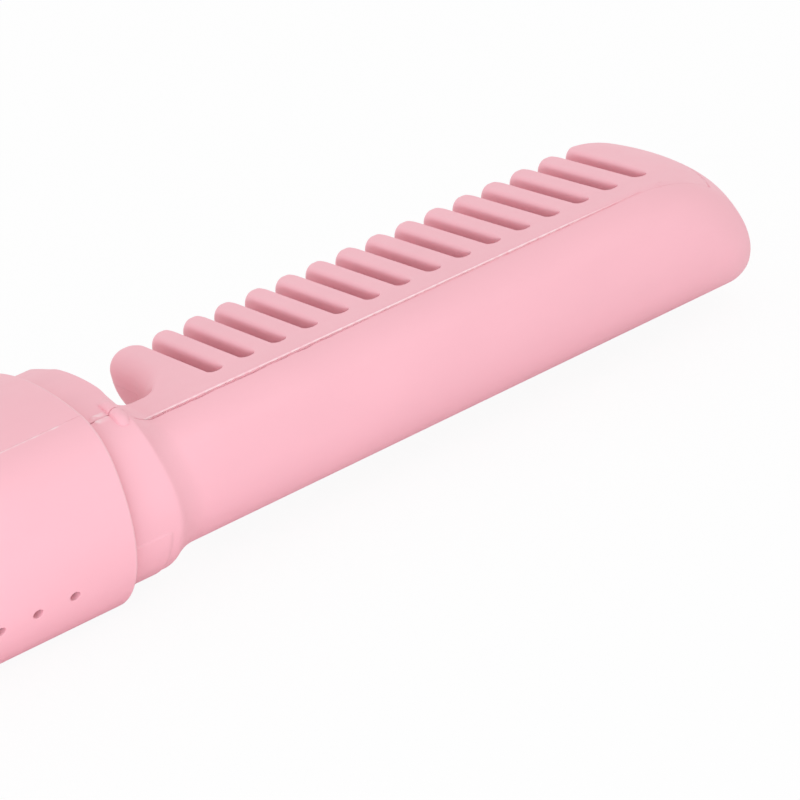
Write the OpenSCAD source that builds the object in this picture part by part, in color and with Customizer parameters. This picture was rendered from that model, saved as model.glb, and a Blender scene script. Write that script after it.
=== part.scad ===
// Cordless hair straightening comb: a round crowned handle and a comb head with heated slots.
// X runs along the comb towards its tip, Y towards the tips of the teeth, Z up out of the flat face.
// Sections are drawn about one common axis, which lies axis_z above the surface it rests on.

/* [Overall] */
// Reach of the comb head past the front of the handle
comb_l = 110; // [110:1:120]

/* [Handle section] */
// Radius of the round part of the handle
handle_r = 19.3; // [19.1:0.1:20.5]
// Height of the crown above the axis
crown_h = 12.6; // [12.4:0.1:13.2]
// Radius of the crown across the handle
crown_r = 50; // [46:1:60]
// Rounding between the crown and the round part
corner_r = 8; // [7:0.5:8.5]
// Wall of the handle shells
handle_wall = 1.6; // [1.4:0.1:1.8]
// Width of the flat foot under the handle
foot_w = 12; // [9:0.5:13]
// Rounding of the tail end
tail_round = 7; // [5:0.5:8]
// Length of the tail cap
tail_cap_l = 12; // [11:0.5:13]
// Length of the lip of the tail cap inside the handle
tail_lip_l = 4; // [3:0.5:5]

/* [Comb section] */
// Radius of the comb's round back
comb_r = 15.9; // [15.5:0.1:16.3]
// Height of the flat face above the axis
flat_h = 6; // [5.6:0.1:6.5]
// Rounding between the flat face and the back
spine_round = 4.4; // [4:0.1:4.8]
// Reach of the teeth from the axis
tooth_reach = 15.4; // [15:0.1:15.5]
// Rounding of the teeth where they meet the flat face
nose_round = 2.6; // [1.5:0.1:3]
// Wall of the comb shells
comb_wall = 1.8; // [1.5:0.1:2]
// Length of the dome that rounds the tip, from its widest section
dome_l = 45.5; // [42:0.5:48]
// Half width of the dome
dome_w = 46.6; // [45:0.2:50]
// Half height of the dome
dome_h = 91; // [80:1:120]
// Place of the dome's middle, towards the teeth
dome_y = 8; // [7:0.1:9]
// Depth of the dome's middle below the axis
dome_low = 6.4; // [5:0.1:8]
// Rounding between the dome and the flat face
dome_round = 15.5; // [14:0.5:16]

/* [Teeth] */
// Number of slots
slot_count = 15; // [12:1:15]
// Pitch of the slots
slot_pitch = 5; // [4.8:0.05:5.05]
// Width of a slot
slot_w = 2.25; // [1.8:0.05:2.5]
// Distance of the slot roots from the axis, on the spine side
slot_root = 6.5; // [6:0.1:6.8]
// Start of the first slot past the front of the handle
slot_start = 21.5; // [21.5:0.1:23]
// Start of the gap behind the first tooth
gap_start = 8.4; // [8.2:0.05:9]
// End of the gap behind the first tooth
gap_end = 16.6; // [16.4:0.05:17]
// Lean of the first tooth over that gap, from the root to the tooth's end
gap_lean = 2; // [1:0.1:2.2]
// Rounding of the root of that gap
gap_round = 2.5; // [1.5:0.1:2.8]
// Rounding of a tooth's end on the handle side
tooth_round = 1.3; // [0.8:0.1:1.6]
// Rounding of a tooth's end on the tip side
tooth_edge = 0.8; // [0.5:0.1:1]
// Distance of the root of that gap from the axis
gap_root = 4.3; // [3.5:0.1:4.8]

/* [Collar] */
// Length of the collar past the front of the handle
collar_l = 7.4; // [6.8:0.1:8]
// Length of the collar clamped inside the handle
spigot_l = 7.5; // [6.5:0.5:8]
// Wall of the collar
collar_wall = 2.2; // [2:0.1:2.4]
// Width of the locking groove around the spigot
groove_w = 1.5; // [1.2:0.1:2]
// Depth of that groove
groove_d = 0.9; // [0.6:0.1:1.1]
// Start of the collar's sweep down to the comb, past the front of the handle
sweep_start = 7; // [6.8:0.1:7.2]
// Length of that sweep
sweep_l = 4.8; // [4:0.1:5]
// Lean of the sweep: the collar is longer below than above
sweep_lean = 0.1; // [0:0.02:0.12]
// End of the crown past the front of the handle
crown_end = 6.4; // [6.2:0.1:6.8]
// Height of the rib that catches the cap
catch_h = 0.5; // [0.3:0.1:0.6]

/* [Heating] */
// Thickness of the heated comb plate
plate_t = 2; // [1.5:0.1:2.2]
// Cover of the plastic teeth past the fins of the plate
fin_cover = 2.6; // [2:0.1:4]
// Wall between a slot and the fins beside it
fin_wall = 0.6; // [0.4:0.1:0.8]
// Room on the plate behind the heater, for the wires, the fuse and the sensor
heater_rear = 9.5; // [9:0.5:14]
// Room on the plate in front of the heater
heater_front = 4.75; // [3:0.25:10]
// Width of the ceramic heater
heater_w = 4.4; // [4:0.1:4.4]
// Thickness of the ceramic heater
heater_t = 1.3; // [1:0.1:1.5]
// Thickness of the mica sheet
mica_t = 0.4; // [0.3:0.1:0.5]
// Thickness of the leaf spring
clip_t = 0.4; // [0.3:0.1:0.5]
// Height of a wave of the leaf spring
clip_wave = 1.2; // [0.8:0.1:1.4]

/* [Battery] */
// Diameter of the cell
cell_d = 18.4; // [18.2:0.1:18.5]
// Length of the cell
cell_l = 65; // [64:0.5:66]
// Wall of the cradle
cradle_wall = 1.2; // [1:0.1:1.4]
// Room behind the cradle, up to the bosses of the tail screws
cradle_rear = 1.4; // [1:0.1:5]
// Room in front of the cradle for the wires, up to the spigot
cradle_front = 5.9; // [5:0.1:10]

/* [Controls] */
// Thickness of the main board
board_t = 1.2; // [1:0.1:1.4]
// Width of the main board
board_w = 24; // [22:0.5:25]
// Height of the top of the main board above the axis
board_h = 6.2; // [6:0.1:6.4]
// Diameter of the power key
power_d = 11; // [9:0.5:12]
// Diameter of a heat key
heat_d = 8.4; // [7:0.2:8.6]
// Gap between neighbouring keys, and between the power key and the display
key_gap = 2.95; // [2.8:0.05:4]
// Travel of the keys
key_travel = 0.5; // [0.3:0.1:0.6]
// How far the keys stand out of the crown
key_proud = 0.8; // [0.7:0.1:1.2]
// Length of the display lens
lens_l = 22; // [18:0.5:23]
// Width of the display lens
lens_w = 10; // [8:0.5:12]

/* [Vents] */
// Number of vent holes
vent_count = 6; // [1:1:10]
// Diameter of a vent hole
vent_d = 1.45; // [1:0.05:2.4]
// Pitch of the vent holes
vent_pitch = 5.4; // [4:0.1:7]
// Distance of the first vent hole behind the front of the handle
vent_start = 9.3; // [9:0.1:12]
// Angle of the row below the level of the axis
vent_angle = 29.5; // [20:0.5:40]

/* [Fasteners] */
// Diameter of the comb and tail screws
screw_d = 2; // [1.8:0.1:2.2]
// Length of the comb screws
comb_screw_l = 8; // [6:0.5:9]
// Length of the tail screws
tail_screw_l = 12; // [11:0.5:13]
// Diameter of the board screws
board_screw_d = 1.7; // [1.5:0.1:1.9]
// Length of the board screws
board_screw_l = 4.4; // [3:0.2:4.6]
// Clearance of a screw in the holes that it passes through
screw_gap = 0.2; // [0.1:0.05:0.3]

/* [Hidden] */

$fn = 64;
eps = 0.01;
slab = 0.05;
far = 100;

// Fits
fit_gap = 0.1;
slide_gap = 0.3;
thread_gap = 0.03;
touch_gap = 0.05;

// Chains along the handle: its length leaves room for the longer one of the cell and the controls
boss_l = 6.5;
boss_gap = 0.5;
tab_t = 0.3;
cell_end = tab_t + fit_gap + cradle_wall;
cell_chain = cradle_rear + 2 * cell_end + cell_l + cradle_front;
board_gap = 2.5;
board_rear = 1;
screw_inset = 3.2;
lens_inset = 8;
lens_gap = 1.55;
key_inset = 8;
board_l = lens_inset + lens_l + lens_gap + key_gap + power_d + key_gap + heat_d + key_gap + heat_d / 2
    + key_inset;
board_chain = board_rear + board_l + board_gap;
rear_l = tail_cap_l + tail_lip_l + boss_gap + boss_l;
handle_l = rear_l + max(cell_chain, board_chain) + spigot_l;

// Stations along X
total_l = handle_l + comb_l;
tail_x = -total_l / 2;
front_x = tail_x + handle_l;
tip_x = total_l / 2;
collar_x = front_x + collar_l;
groove_x = front_x - spigot_l / 2;
slot_x = front_x + slot_start;
slot_end_x = slot_x + (slot_count - 1) * slot_pitch + slot_w;

// Heights about the axis
axis_z = sqrt(handle_r ^ 2 - (foot_w / 2) ^ 2);
floor_z = -axis_z + handle_wall;
collar_inset = handle_wall + fit_gap;
plate_top = 2;
tip_turn = 60;
tip_steps = 8;
plate_bottom = plate_top - plate_t;

// Colours
PINK = [0.98, 0.75, 0.80];
METAL = [0.75, 0.76, 0.78];
GREEN = [0.10, 0.35, 0.22];
BLACK = [0.08, 0.08, 0.09];

// Placing

// Extrudes a section, drawn as (Y, Z) about the axis, from x0 to x1
module along_x(x0, x1) {
    translate([x0, 0, axis_z]) rotate([90, 0, 90]) linear_extrude(x1 - x0) children();
}

// Extrudes a plan, drawn as (X, Y), between two heights about the axis
module upright(z0, z1) {
    translate([0, 0, axis_z + z0]) linear_extrude(z1 - z0) children();
}

// Extrudes a side view, drawn as (X, Z) about the axis, from y0 to y1
module across_y(y0, y1) {
    translate([0, y1, axis_z]) rotate([90, 0, 0]) linear_extrude(y1 - y0) children();
}

// A box between two corners, with heights about the axis
module block(a, b) {
    translate([a[0], a[1], axis_z + a[2]]) cube(b - a);
}

// An upright round bar or bore at a place in plan
module post(x, y, d, z0, z1) {
    translate([x, y, axis_z + z0]) cylinder(d = d, h = z1 - z0);
}

// A round bar or bore along X
module rod(x0, x1, y, z, d) {
    translate([x0, y, axis_z + z]) rotate([0, 90, 0]) cylinder(d = d, h = x1 - x0);
}

// A round tube swept along points given about the axis
module wire(points, d, sides = 8) {
    n = len(points);
    dir = function(i) let (v = points[min(i + 1, n - 1)] - points[max(i - 1, 0)]) v / norm(v);
    ring = function(i)
        let (t = dir(i), c = cross(t, [0, 1, 0]), u = c / norm(c), w = cross(u, t))
        [for (k = [0:sides - 1])
            points[i] + d / 2 * (cos(360 * k / sides) * u + sin(360 * k / sides) * w)];
    translate([0, 0, axis_z]) polyhedron(
        points = [for (i = [0:n - 1]) each ring(i)],
        faces = [
            [for (k = [sides - 1:-1:0]) k],
            for (i = [0:n - 2], k = [0:sides - 1])
                let (a = i * sides + k, b = i * sides + (k + 1) % sides) [a, b, b + sides, a + sides],
            [for (k = [0:sides - 1]) (n - 1) * sides + k]
        ]);
}

// A rectangle with round corners
module rounded_plan(l, w, r) {
    translate([r, 0]) square([l - 2 * r, w]);
    translate([0, r]) square([l, w - 2 * r]);
    for (x = [r, l - r], y = [r, w - r]) translate([x, y]) circle(r);
}

// Outlines

// Points along an arc without its last one
function arc(c, r, a0, a1, n) =
    [for (i = [0:n - 1])
        let (a = a0 + (a1 - a0) * i / n)
        c + r * [cos(a), sin(a)]];

// Centre of the corner arc of a crowned section: inside the round part and the crown by its own radius
function corner_centre(inset, r) =
    let (zb = crown_h - crown_r, da = handle_r - inset - r, db = crown_r - inset - r,
        z = (da ^ 2 - db ^ 2 + zb ^ 2) / (2 * zb))
    [sqrt(da ^ 2 - z ^ 2), z];

// Half width of the crown, where its arc meets the corner arcs: the shells part there
function crown_half(inset, r) =
    let (c = corner_centre(inset, r), zb = crown_h - crown_r)
    (crown_r - inset) * c[0] / (crown_r - inset - r);

// Outline of the crowned round section, drawn in by inset
function crowned(inset, r) =
    let (c = corner_centre(inset, r), zb = crown_h - crown_r, side = atan2(c[1], c[0]),
        top = atan2(c[1] - zb, c[0]))
    concat(
        arc(c, r, side, top, 6),
        arc([0, zb], crown_r - inset, top, 180 - top, 8),
        arc([-c[0], c[1]], r, 180 - top, 180 - side, 6),
        arc([0, 0], handle_r - inset, 180 - side, 360 + side, 36));

// Outline of the comb: a round back of radius r, a flat face at height top, an upright side at reach
function comb_section(r, top, reach, fillet, nose) =
    let (cz = top - fillet, cy = -sqrt((r - fillet) ^ 2 - cz ^ 2), back = (atan2(cz, cy) + 360) % 360,
        under = acos(reach / r))
    concat(
        arc([cy, cz], fillet, 90, back, 6),
        arc([0, 0], r, back, 360 - under, 32),
        [[reach, -r * sin(under)]],
        arc([reach - nose, top - nose], nose, 0, 90, 6),
        [[reach - nose, top]]);

// The same outline, drawn in by inset
function comb_outline(inset) = comb_section(comb_r - inset, flat_h - inset, tooth_reach - inset,
    spine_round - inset, max(nose_round - inset, 0.5));

// Half widths of the two tops, where their parting lines run
cover_half = crown_half(0, corner_r);
comb_part = sqrt((comb_r - spine_round) ^ 2 - (flat_h - spine_round) ^ 2);

// Inner half width of the handle at a height in its upper corners
function inner_half(inset, z) =
    let (c = corner_centre(inset, corner_r - inset)) c[0] + sqrt((corner_r - inset) ^ 2 - (z - c[1]) ^ 2);

// Comb head

// How deep a point lies inside the dome
function dome_depth(x, y, z) =
    let (q = [max(x - tip_x + dome_l, 0) / dome_l, (y - dome_y) / dome_w, (z + dome_low) / dome_h],
        k = norm(q), slope = norm([q[0] / dome_l, q[1] / dome_w, q[2] / dome_h]))
    k * (1 - k) / slope;

// Height of the flat face at a depth inside the dome: it rounds down to the dome
function face_height(depth) =
    flat_h - dome_round + sqrt(dome_round ^ 2 - max(dome_round - max(depth, 0), 0) ^ 2);

// Outline of the comb with extra points on its flat face
function face_outline() =
    let (o = comb_outline(0), a = o[len(o) - 1], b = o[0])
    concat(o, [for (i = [1:5]) a + (b - a) * i / 6]);

// Outline of the comb near its tip: inside the dome and under the rounding of the face
function tip_outline(x) =
    let (s = sqrt(1 - (max(x - tip_x + dome_l, 0) / dome_l) ^ 2))
    [for (p = face_outline())
        let (k = max(norm([(p[0] - dome_y) / dome_w, (p[1] + dome_low) / dome_h]) / s, 1),
            y = dome_y + (p[0] - dome_y) / k, z = (p[1] + dome_low) / k - dome_low)
        [y, min(z, face_height(dome_depth(x, y, z)))]];

// The comb head as if it were solid: straight, then rounded by the dome
module comb_blank() {
    tip_start = 5;
    function turned_x(a) = tip_x - dome_l * (cos(tip_start) - cos(a));
    hull() {
        along_x(collar_x - collar_wall, turned_x(tip_turn)) polygon(comb_outline(0));
        for (i = [0:tip_steps - 1]) {
            a = max(tip_turn * i / tip_steps, tip_start);
            along_x(turned_x(a) - slab, turned_x(a)) polygon(tip_outline(tip_x - dome_l * (1 - cos(a))));
        }
    }
}

// Collar with its spigot, up to its sweep
module collar_blank() {
    along_x(front_x - spigot_l, front_x + crown_end - 1.6) polygon(crowned(collar_inset, corner_r));
}

// Section of the collar a share of the way down its sweep, which ends just inside the comb
module sweep_slice(share) {
    drop = (handle_r - collar_inset - comb_r + touch_gap + fit_gap) * (1 - (1 - share) ^ 2);
    x = front_x + sweep_start + share * sweep_l;
    along_x(x - slab, x) polygon(crowned(collar_inset + drop, corner_r - drop));
}

// Front of the collar: it sweeps down to the comb, later below than above, and its crown ends short
module collar_sweep() {
    steps = 4;
    difference() {
        multmatrix([[1, 0, -sweep_lean, sweep_lean * axis_z], [0, 1, 0, 0], [0, 0, 1, 0]]) {
            along_x(front_x + crown_end - 4, front_x + sweep_start)
                polygon(crowned(collar_inset, corner_r));
            for (i = [0:steps - 1]) hull() {
                sweep_slice(i / steps);
                sweep_slice((i + 1) / steps);
            }
        }
        across_y(-far, far) translate([front_x + crown_end, flat_h])
            polygon([[0, far], [0, 3.2], [1.2, 1.2], [3.2, 0], [far, 0], [far, far]]);
    }
}

catch_w = 1.7;
catch_x = 4.5;
catch_near_y = 9.6;
catch_end_y = 14.4;

// Short rib around the collar that catches a cap, across the parting line
module cap_catch() {
    intersection() {
        along_x(front_x + catch_x - catch_w / 2, front_x + catch_x + catch_w / 2)
            polygon(crowned(collar_inset - catch_h, corner_r));
        block([front_x, -catch_end_y, flat_h], [collar_x, -catch_near_y, far]);
    }
}

// Centre of a slot in X
function slot_middle(i) = slot_x + i * slot_pitch + slot_w / 2;

// Plan of the slots, wider by grow on each side
module slot_plan(grow) {
    r = slot_w / 2 + grow;
    for (i = [0:slot_count - 1]) translate([slot_middle(i), -slot_root + slot_w / 2]) {
        circle(r);
        translate([-r, 0]) square([2 * r, far]);
    }
}

// Rounded end of a tooth between two walls in X, seen from above
function tooth_end(x0, x1) =
    let (left = min(tooth_round, (x1 - x0) / 2 - tooth_edge / 2), y = tooth_reach + eps)
    concat(
        arc([x0 + left, y - left], left, 180, 90, 6),
        arc([x1 - tooth_edge, y - tooth_edge], tooth_edge, 90, 0, 4),
        [[x1, y - tooth_edge]]);

// Plan of the comb head: the collar, the gap behind the first tooth, then teeth and slots in turn
function comb_plan() =
    let (g0 = front_x + gap_start, g1 = front_x + gap_end, root = g1 - gap_lean, r = gap_round,
        last = slot_count - 1)
    concat(
        [[front_x - far, -far], [front_x - far, far], [g0, far]],
        arc([g0 + r, r - gap_root], r, 180, 270, 6),
        arc([root - r, r - gap_root], r, 270, 360, 6),
        [for (i = [0:last])
            let (x0 = i == 0 ? g1 : slot_middle(i - 1) + slot_w / 2, x1 = slot_middle(i) - slot_w / 2)
            each concat(
                i == 0 ? [[root, r - gap_root]] : [],
                tooth_end(x0, x1),
                arc([slot_middle(i), slot_w / 2 - slot_root], slot_w / 2, 180, 360, 8),
                [[x1 + slot_w, slot_w / 2 - slot_root]])],
        [for (p = tooth_end(slot_end_x, tip_x + far)) if (p[0] < tip_x) p],
        [[tip_x + 1, tooth_reach + eps], [tip_x + 1, -far]]);

// The whole comb head with its slots, still closed inside
module comb_head() {
    difference() {
        union() {
            intersection() {
                union() {
                    comb_blank();
                    collar_sweep();
                }
                upright(-far / 2, far / 2) polygon(comb_plan());
            }
            collar_blank();
            cap_catch();
        }
        // Flat under the spigot, over the floor of the handle
        block([front_x - spigot_l - 1, -far, -far], [front_x, far, floor_z + fit_gap]);
        // Locking groove
        difference() {
            along_x(groove_x - groove_w / 2, groove_x + groove_w / 2)
                polygon(crowned(collar_inset - 1, corner_r));
            along_x(front_x - spigot_l, front_x)
                polygon(crowned(collar_inset + groove_d, corner_r - groove_d));
        }
        // Hollow of the collar, open to the handle
        along_x(front_x - spigot_l - 1, collar_x - collar_wall)
            polygon(crowned(collar_inset + collar_wall, corner_r - collar_wall));
        wire_channel();
        tip_hollow();
        for (p = comb_screw_places) {
            post(p[0], p[1], screw_d + 2 * thread_gap, comb_screw_z,
                comb_screw_z + comb_screw_l + pilot_gap);
            post(p[0], p[1], screw_d + 2 * screw_gap, comb_screw_z - eps, plate_top);
            post(p[0], p[1], 2 * (screw_d + screw_gap), -far / 2, comb_screw_z);
        }
    }
}

// Channel under the plate's spine, for the heater and its wires
channel_side = slot_root + 1.6;
channel_end = slot_end_x - 0.8;
module wire_channel() {
    along_x(collar_x - collar_wall - eps, channel_end) intersection() {
        polygon(comb_outline(comb_wall));
        translate([-far, -far]) square([far - channel_side, far + plate_bottom]);
    }
}

tip_solid = 11;

// Hollow of the tip past the last slot, with a boss around its screw
module tip_hollow() {
    difference() {
        intersection() {
            along_x(slot_end_x + comb_wall, tip_x - tip_solid) polygon(comb_outline(2 * comb_wall));
            block([front_x, -far, -far], [tip_x, far, plate_top]);
        }
        post(comb_screw_places[1][0], comb_screw_places[1][1], 3 * screw_d, -far / 2, far / 2);
    }
}

// Screws of the comb: in the first tooth and in the tip
comb_screw_z = -4;
tip_screw_inset = 3.8;
root_screw_x = 18.3;
pilot_gap = 0.4;
comb_screw_places = [
    [front_x + root_screw_x, -0.5],
    [slot_end_x + tip_screw_inset, 0]
];

// What lies above the joint of the two comb shells
module upper_half() {
    block([collar_x - collar_wall, -comb_part, plate_top], [tip_x + 1, far, far]);
    block([front_x - spigot_l - 1, -comb_part, plate_top],
        [collar_x - collar_wall + eps, comb_part, far]);
}

module comb_top_shell() {
    color(PINK) intersection() {
        comb_head();
        upper_half();
    }
}

module comb_back_shell() {
    color(PINK) {
        difference() {
            comb_head();
            upper_half();
            upright(plate_bottom, plate_top + eps) plate_plan(fit_gap);
        }
        clip_ribs();
    }
}

// Heating

plate_start = slot_x;
plate_end = slot_end_x;
spine_y = comb_r - comb_wall - 1.2;

// Plan of the heated comb: a spine behind the slot roots and a fin in each full tooth
module plate_plan(grow) {
    difference() {
        union() {
            translate([plate_start - grow, -spine_y - grow])
                square([plate_end - plate_start + 2 * grow, spine_y - slot_root + 2 * grow]);
            translate([plate_start + slot_w / 2, -slot_root - 1])
                square([(slot_count - 1) * slot_pitch, slot_root + 1 + tooth_reach - fin_cover + grow]);
        }
        slot_plan(fin_wall - grow);
    }
}

module comb_plate() {
    color(METAL) upright(plate_bottom, plate_top) plate_plan(0);
}

heater_x = plate_start + heater_rear;
heater_l = plate_end - heater_front - heater_x;
heater_y = (channel_side + spine_y) / 2;
mica_z = plate_bottom - heater_t - mica_t;
clip_z = mica_z - touch_gap - clip_wave - clip_t;
clip_waves = 4;

module ceramic_heater() {
    color("ivory") block([heater_x, -heater_y - heater_w / 2, plate_bottom - heater_t],
        [heater_x + heater_l, -heater_y + heater_w / 2, plate_bottom]);
}

module mica_sheet() {
    color("khaki") block([heater_x - 1, -heater_y - heater_w / 2, mica_z],
        [heater_x + heater_l + 1, -heater_y + heater_w / 2, mica_z + mica_t]);
}

// Leaf spring: its crests press on the mica and its troughs stand on the ribs
module heater_clip() {
    n = 16 * clip_waves;
    wave = [for (i = [0:n]) [heater_x + heater_l * i / n,
        clip_z + clip_wave / 2 * (1 + cos(360 * clip_waves * i / n))]];
    color(METAL) across_y(-heater_y - heater_w / 2 + 0.4, -heater_y + heater_w / 2 - 0.4)
        polygon(concat(wave, [for (i = [n:-1:0]) wave[i] + [0, clip_t]]));
}

// Ribs across the wire channel under the troughs of the leaf spring
module clip_ribs() {
    for (i = [0:clip_waves - 1]) {
        x = heater_x + heater_l * (i + 0.5) / clip_waves;
        intersection() {
            along_x(x - 0.7, x + 0.7) polygon(comb_outline(comb_wall / 2));
            block([x - 1, -far, -far], [x + 1, -channel_side + comb_wall / 2, clip_z]);
        }
    }
}

fuse_d = 2.2;
sensor_d = 1.6;

module thermal_fuse() {
    color("white")
        rod(plate_start + 1.5, plate_start + 8, -channel_side - 1.3,
            plate_bottom - fuse_d / 2 - touch_gap, fuse_d);
}

module temperature_sensor() {
    color(BLACK)
        rod(plate_start + 4, plate_start + 7, -spine_y + 1,
            plate_bottom - sensor_d / 2 - touch_gap, sensor_d);
}

lead_d = 1.2;

// Two wires from the front of the main board, through the collar, to the heater
module heater_leads() {
    y = -heater_y;
    color("crimson") for (side = [-1, 1]) wire([
        [board_front - 2, side - 5, board_h - board_t - 0.7],
        [board_front + 1, side - 5, board_h - board_t - 1],
        [front_x - 4, side - 6, 2],
        [front_x, side - 8, -1.5],
        [collar_x - 2, side + y - 0.3, -4.5],
        [collar_x + 4, side + y - 0.3, -6],
        [plate_start - 1, side + y, -6],
        [heater_x - 4, side + y, -4.5],
        [heater_x - 1.6, side + y, plate_bottom - heater_t - 1.6]
    ], lead_d);
}

// A pan-head screw that points up from the plane under its head
module screw(x, y, z, d, l) {
    post(x, y, d, z, z + l);
    post(x, y, 2 * d, z - head_h * d, z);
}

module comb_screws() {
    color(METAL) for (p = comb_screw_places) screw(p[0], p[1], comb_screw_z, screw_d, comb_screw_l);
}

// Handle

body_x = tail_x + tail_cap_l;
boss_x = body_x + tail_lip_l + boss_gap;
boss_d = 4.4;
tail_boss_d = 5;

// Handle shell between its outer and inner outlines, open at both ends
module handle_tube() {
    difference() {
        along_x(body_x, front_x) polygon(crowned(0, corner_r));
        intersection() {
            along_x(body_x - 1, front_x + 1) polygon(crowned(handle_wall, corner_r - handle_wall));
            block([tail_x, -far, floor_z], [front_x + 2, far, far]);
        }
        // Foot
        block([tail_x, -far, -far], [front_x + 1, far, -axis_z]);
    }
    // Rib that locks into the collar's groove
    difference() {
        along_x(groove_x - groove_w / 2 + fit_gap, groove_x + groove_w / 2 - fit_gap)
            polygon(crowned(handle_wall / 2, corner_r));
        along_x(tail_x, front_x)
            polygon(crowned(collar_inset + groove_d - fit_gap, corner_r - groove_d));
        block([tail_x, -far, -far], [front_x + 1, far, -axis_z]);
    }
}

// Space of the cover within the handle tube
module cover_space(gap) {
    block([tail_x, -cover_half - gap, 0], [front_x + 2, cover_half + gap, far]);
}

lip_t = 1.2;
lip_low = 5.6;
hook_z = 6.6;
hook_l = 6;
hook_reach = 0.6;
hook_inset = 12;

// Hooks of the cover's lips, or their pockets in the body when grown
module hooks(grow) {
    rear = boss_x + boss_gap + hook_l;
    front = front_x - spigot_l - hook_inset;
    y = inner_half(handle_wall, hook_z);
    for (x = [rear, (rear + front) / 2, front], side = [0, 1]) {
        mirror([0, side, 0])
            block([x - hook_l / 2 - grow, y - 1, hook_z - 0.5 - grow],
                [x + hook_l / 2 + grow, y + hook_reach + grow, hook_z + 0.5 + grow]);
    }
}

module handle_cover() {
    lip_x = front_x - spigot_l - 1;
    color(PINK) difference() {
        union() {
            intersection() {
                handle_tube();
                cover_space(0);
            }
            // Lips that reach down inside the body
            difference() {
                intersection() {
                    along_x(body_x + tail_lip_l + 1, lip_x)
                        polygon(crowned(handle_wall + fit_gap, corner_r - handle_wall - fit_gap));
                    block([tail_x, -far, lip_low], [front_x, far, far]);
                }
                along_x(tail_x, front_x)
                    polygon(crowned(handle_wall + lip_t, corner_r - handle_wall - lip_t));
                block([tail_x, -cover_half + 1.5, 0], [front_x, cover_half - 1.5, far]);
            }
            // Ribs along the cover's edges that carry the lips
            for (side = [0, 1]) mirror([0, side, 0]) intersection() {
                along_x(body_x + tail_lip_l + 1, lip_x) polygon(crowned(handle_wall / 2, corner_r));
                block([tail_x, cover_half - handle_wall, crown_h - 4],
                    [front_x, cover_half - fit_gap, far]);
            }
            hooks(0);
            // Bosses for the board
            intersection() {
                for (p = board_screw_places) post(p[0], p[1], boss_d, board_h, crown_h);
                along_x(board_back, board_front) polygon(crowned(handle_wall / 2, corner_r));
            }
            // Boss of the upper tail screw
            rod(boss_x, boss_x + boss_l, 0, tail_screw_z[0], tail_boss_d);
            block([boss_x, -1, tail_screw_z[0]], [boss_x + boss_l, 1, crown_h - handle_wall / 2]);
        }
        for (p = board_screw_places)
            post(p[0], p[1], board_screw_d + 2 * thread_gap, board_h - 1,
                board_h - board_t + board_screw_l + pilot_gap);
        rod(body_x, tail_pilot_x, 0, tail_screw_z[0], screw_d + 2 * thread_gap);
        lens_window(0.05, 0);
        for (k = key_places) post(k[0], 0, k[1] + 2 * slide_gap, board_h + 2, far / 2);
    }
}

module handle_body() {
    color(PINK) difference() {
        union() {
            difference() {
                handle_tube();
                cover_space(0);
            }
            // Boss of the lower tail screw
            rod(boss_x, boss_x + boss_l, 0, tail_screw_z[1], tail_boss_d);
            block([boss_x, -1, -axis_z + handle_wall / 2], [boss_x + boss_l, 1, tail_screw_z[1]]);
            // Posts under the charging board
            for (side = [-1, 1])
                block([charge_x + 13, side * 6 - 1, -axis_z + handle_wall / 2],
                    [charge_x + 16, side * 6 + 1, usb_z - usb_h / 2 - charge_t]);
        }
        hooks(fit_gap);
        rod(body_x, tail_pilot_x, 0, tail_screw_z[1], screw_d + 2 * thread_gap);
        vents();
    }
}

// Row of vent holes, square to the round wall
module vents() {
    for (i = [0:vent_count - 1])
        translate([front_x - vent_start - i * vent_pitch, 0, axis_z]) rotate([90 + vent_angle, 0, 0])
            translate([0, 0, handle_r - 3]) cylinder(d = vent_d, h = 5);
}

// Tail

tail_screw_z = [7.2, -12.2];
tail_wall = 2.4;
tail_lip_t = 1.6;
usb_w = 8.94;
usb_h = 3.26;
usb_l = 7.3;
usb_z = -2;
usb_x = tail_x + 0.8;
charge_x = tail_x + 3;
charge_t = 1.2;
charge_l = 17;
charge_w = 16;

// Rounded slab profile of the charging socket
module usb_shape(grow) {
    r = usb_h / 2 + grow;
    for (side = [-1, 1]) translate([side * (usb_w - usb_h) / 2, usb_z]) circle(r, $fn = 32);
    translate([-(usb_w - usb_h) / 2, usb_z - r]) square([usb_w - usb_h, 2 * r]);
}

// Half outline of the tail for turning about the axis
module tail_profile() {
    polygon(concat([[0, 0]], arc([handle_r - tail_round, tail_round], tail_round, -90, 0, 10),
        [[handle_r, tail_round], [handle_r, 2 * tail_cap_l], [0, 2 * tail_cap_l]]));
}

module tail_cap() {
    color(PINK) difference() {
        union() {
            intersection() {
                along_x(tail_x, body_x) polygon(crowned(0, corner_r));
                translate([tail_x, 0, axis_z]) rotate([0, 90, 0]) rotate_extrude($fn = 96) tail_profile();
            }
            intersection() {
                along_x(body_x - 1, body_x + tail_lip_l)
                    polygon(crowned(handle_wall + fit_gap, corner_r - handle_wall - fit_gap));
                block([tail_x, -far, floor_z + fit_gap], [front_x, far, far]);
            }
        }
        block([tail_x - 1, -far, -far], [body_x + 1, far, -axis_z]);
        // Hollow
        difference() {
            along_x(tail_x + tail_wall, body_x + tail_lip_l + 1)
                polygon(crowned(handle_wall + tail_lip_t, corner_r - handle_wall - tail_lip_t));
            block([tail_x, -far, -far], [front_x, far, floor_z + tail_lip_t]);
            for (z = tail_screw_z) rod(tail_x, body_x + tail_lip_l, 0, z, tail_boss_d);
        }
        // Port
        along_x(tail_x - 1, tail_x + 5) usb_shape(0.15);
        for (z = tail_screw_z) {
            rod(tail_x - 1, body_x + tail_lip_l + 1, 0, z, screw_d + 2 * screw_gap);
            rod(tail_x - 1, tail_screw_x, 0, z, 2 * (screw_d + screw_gap));
        }
    }
}

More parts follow.
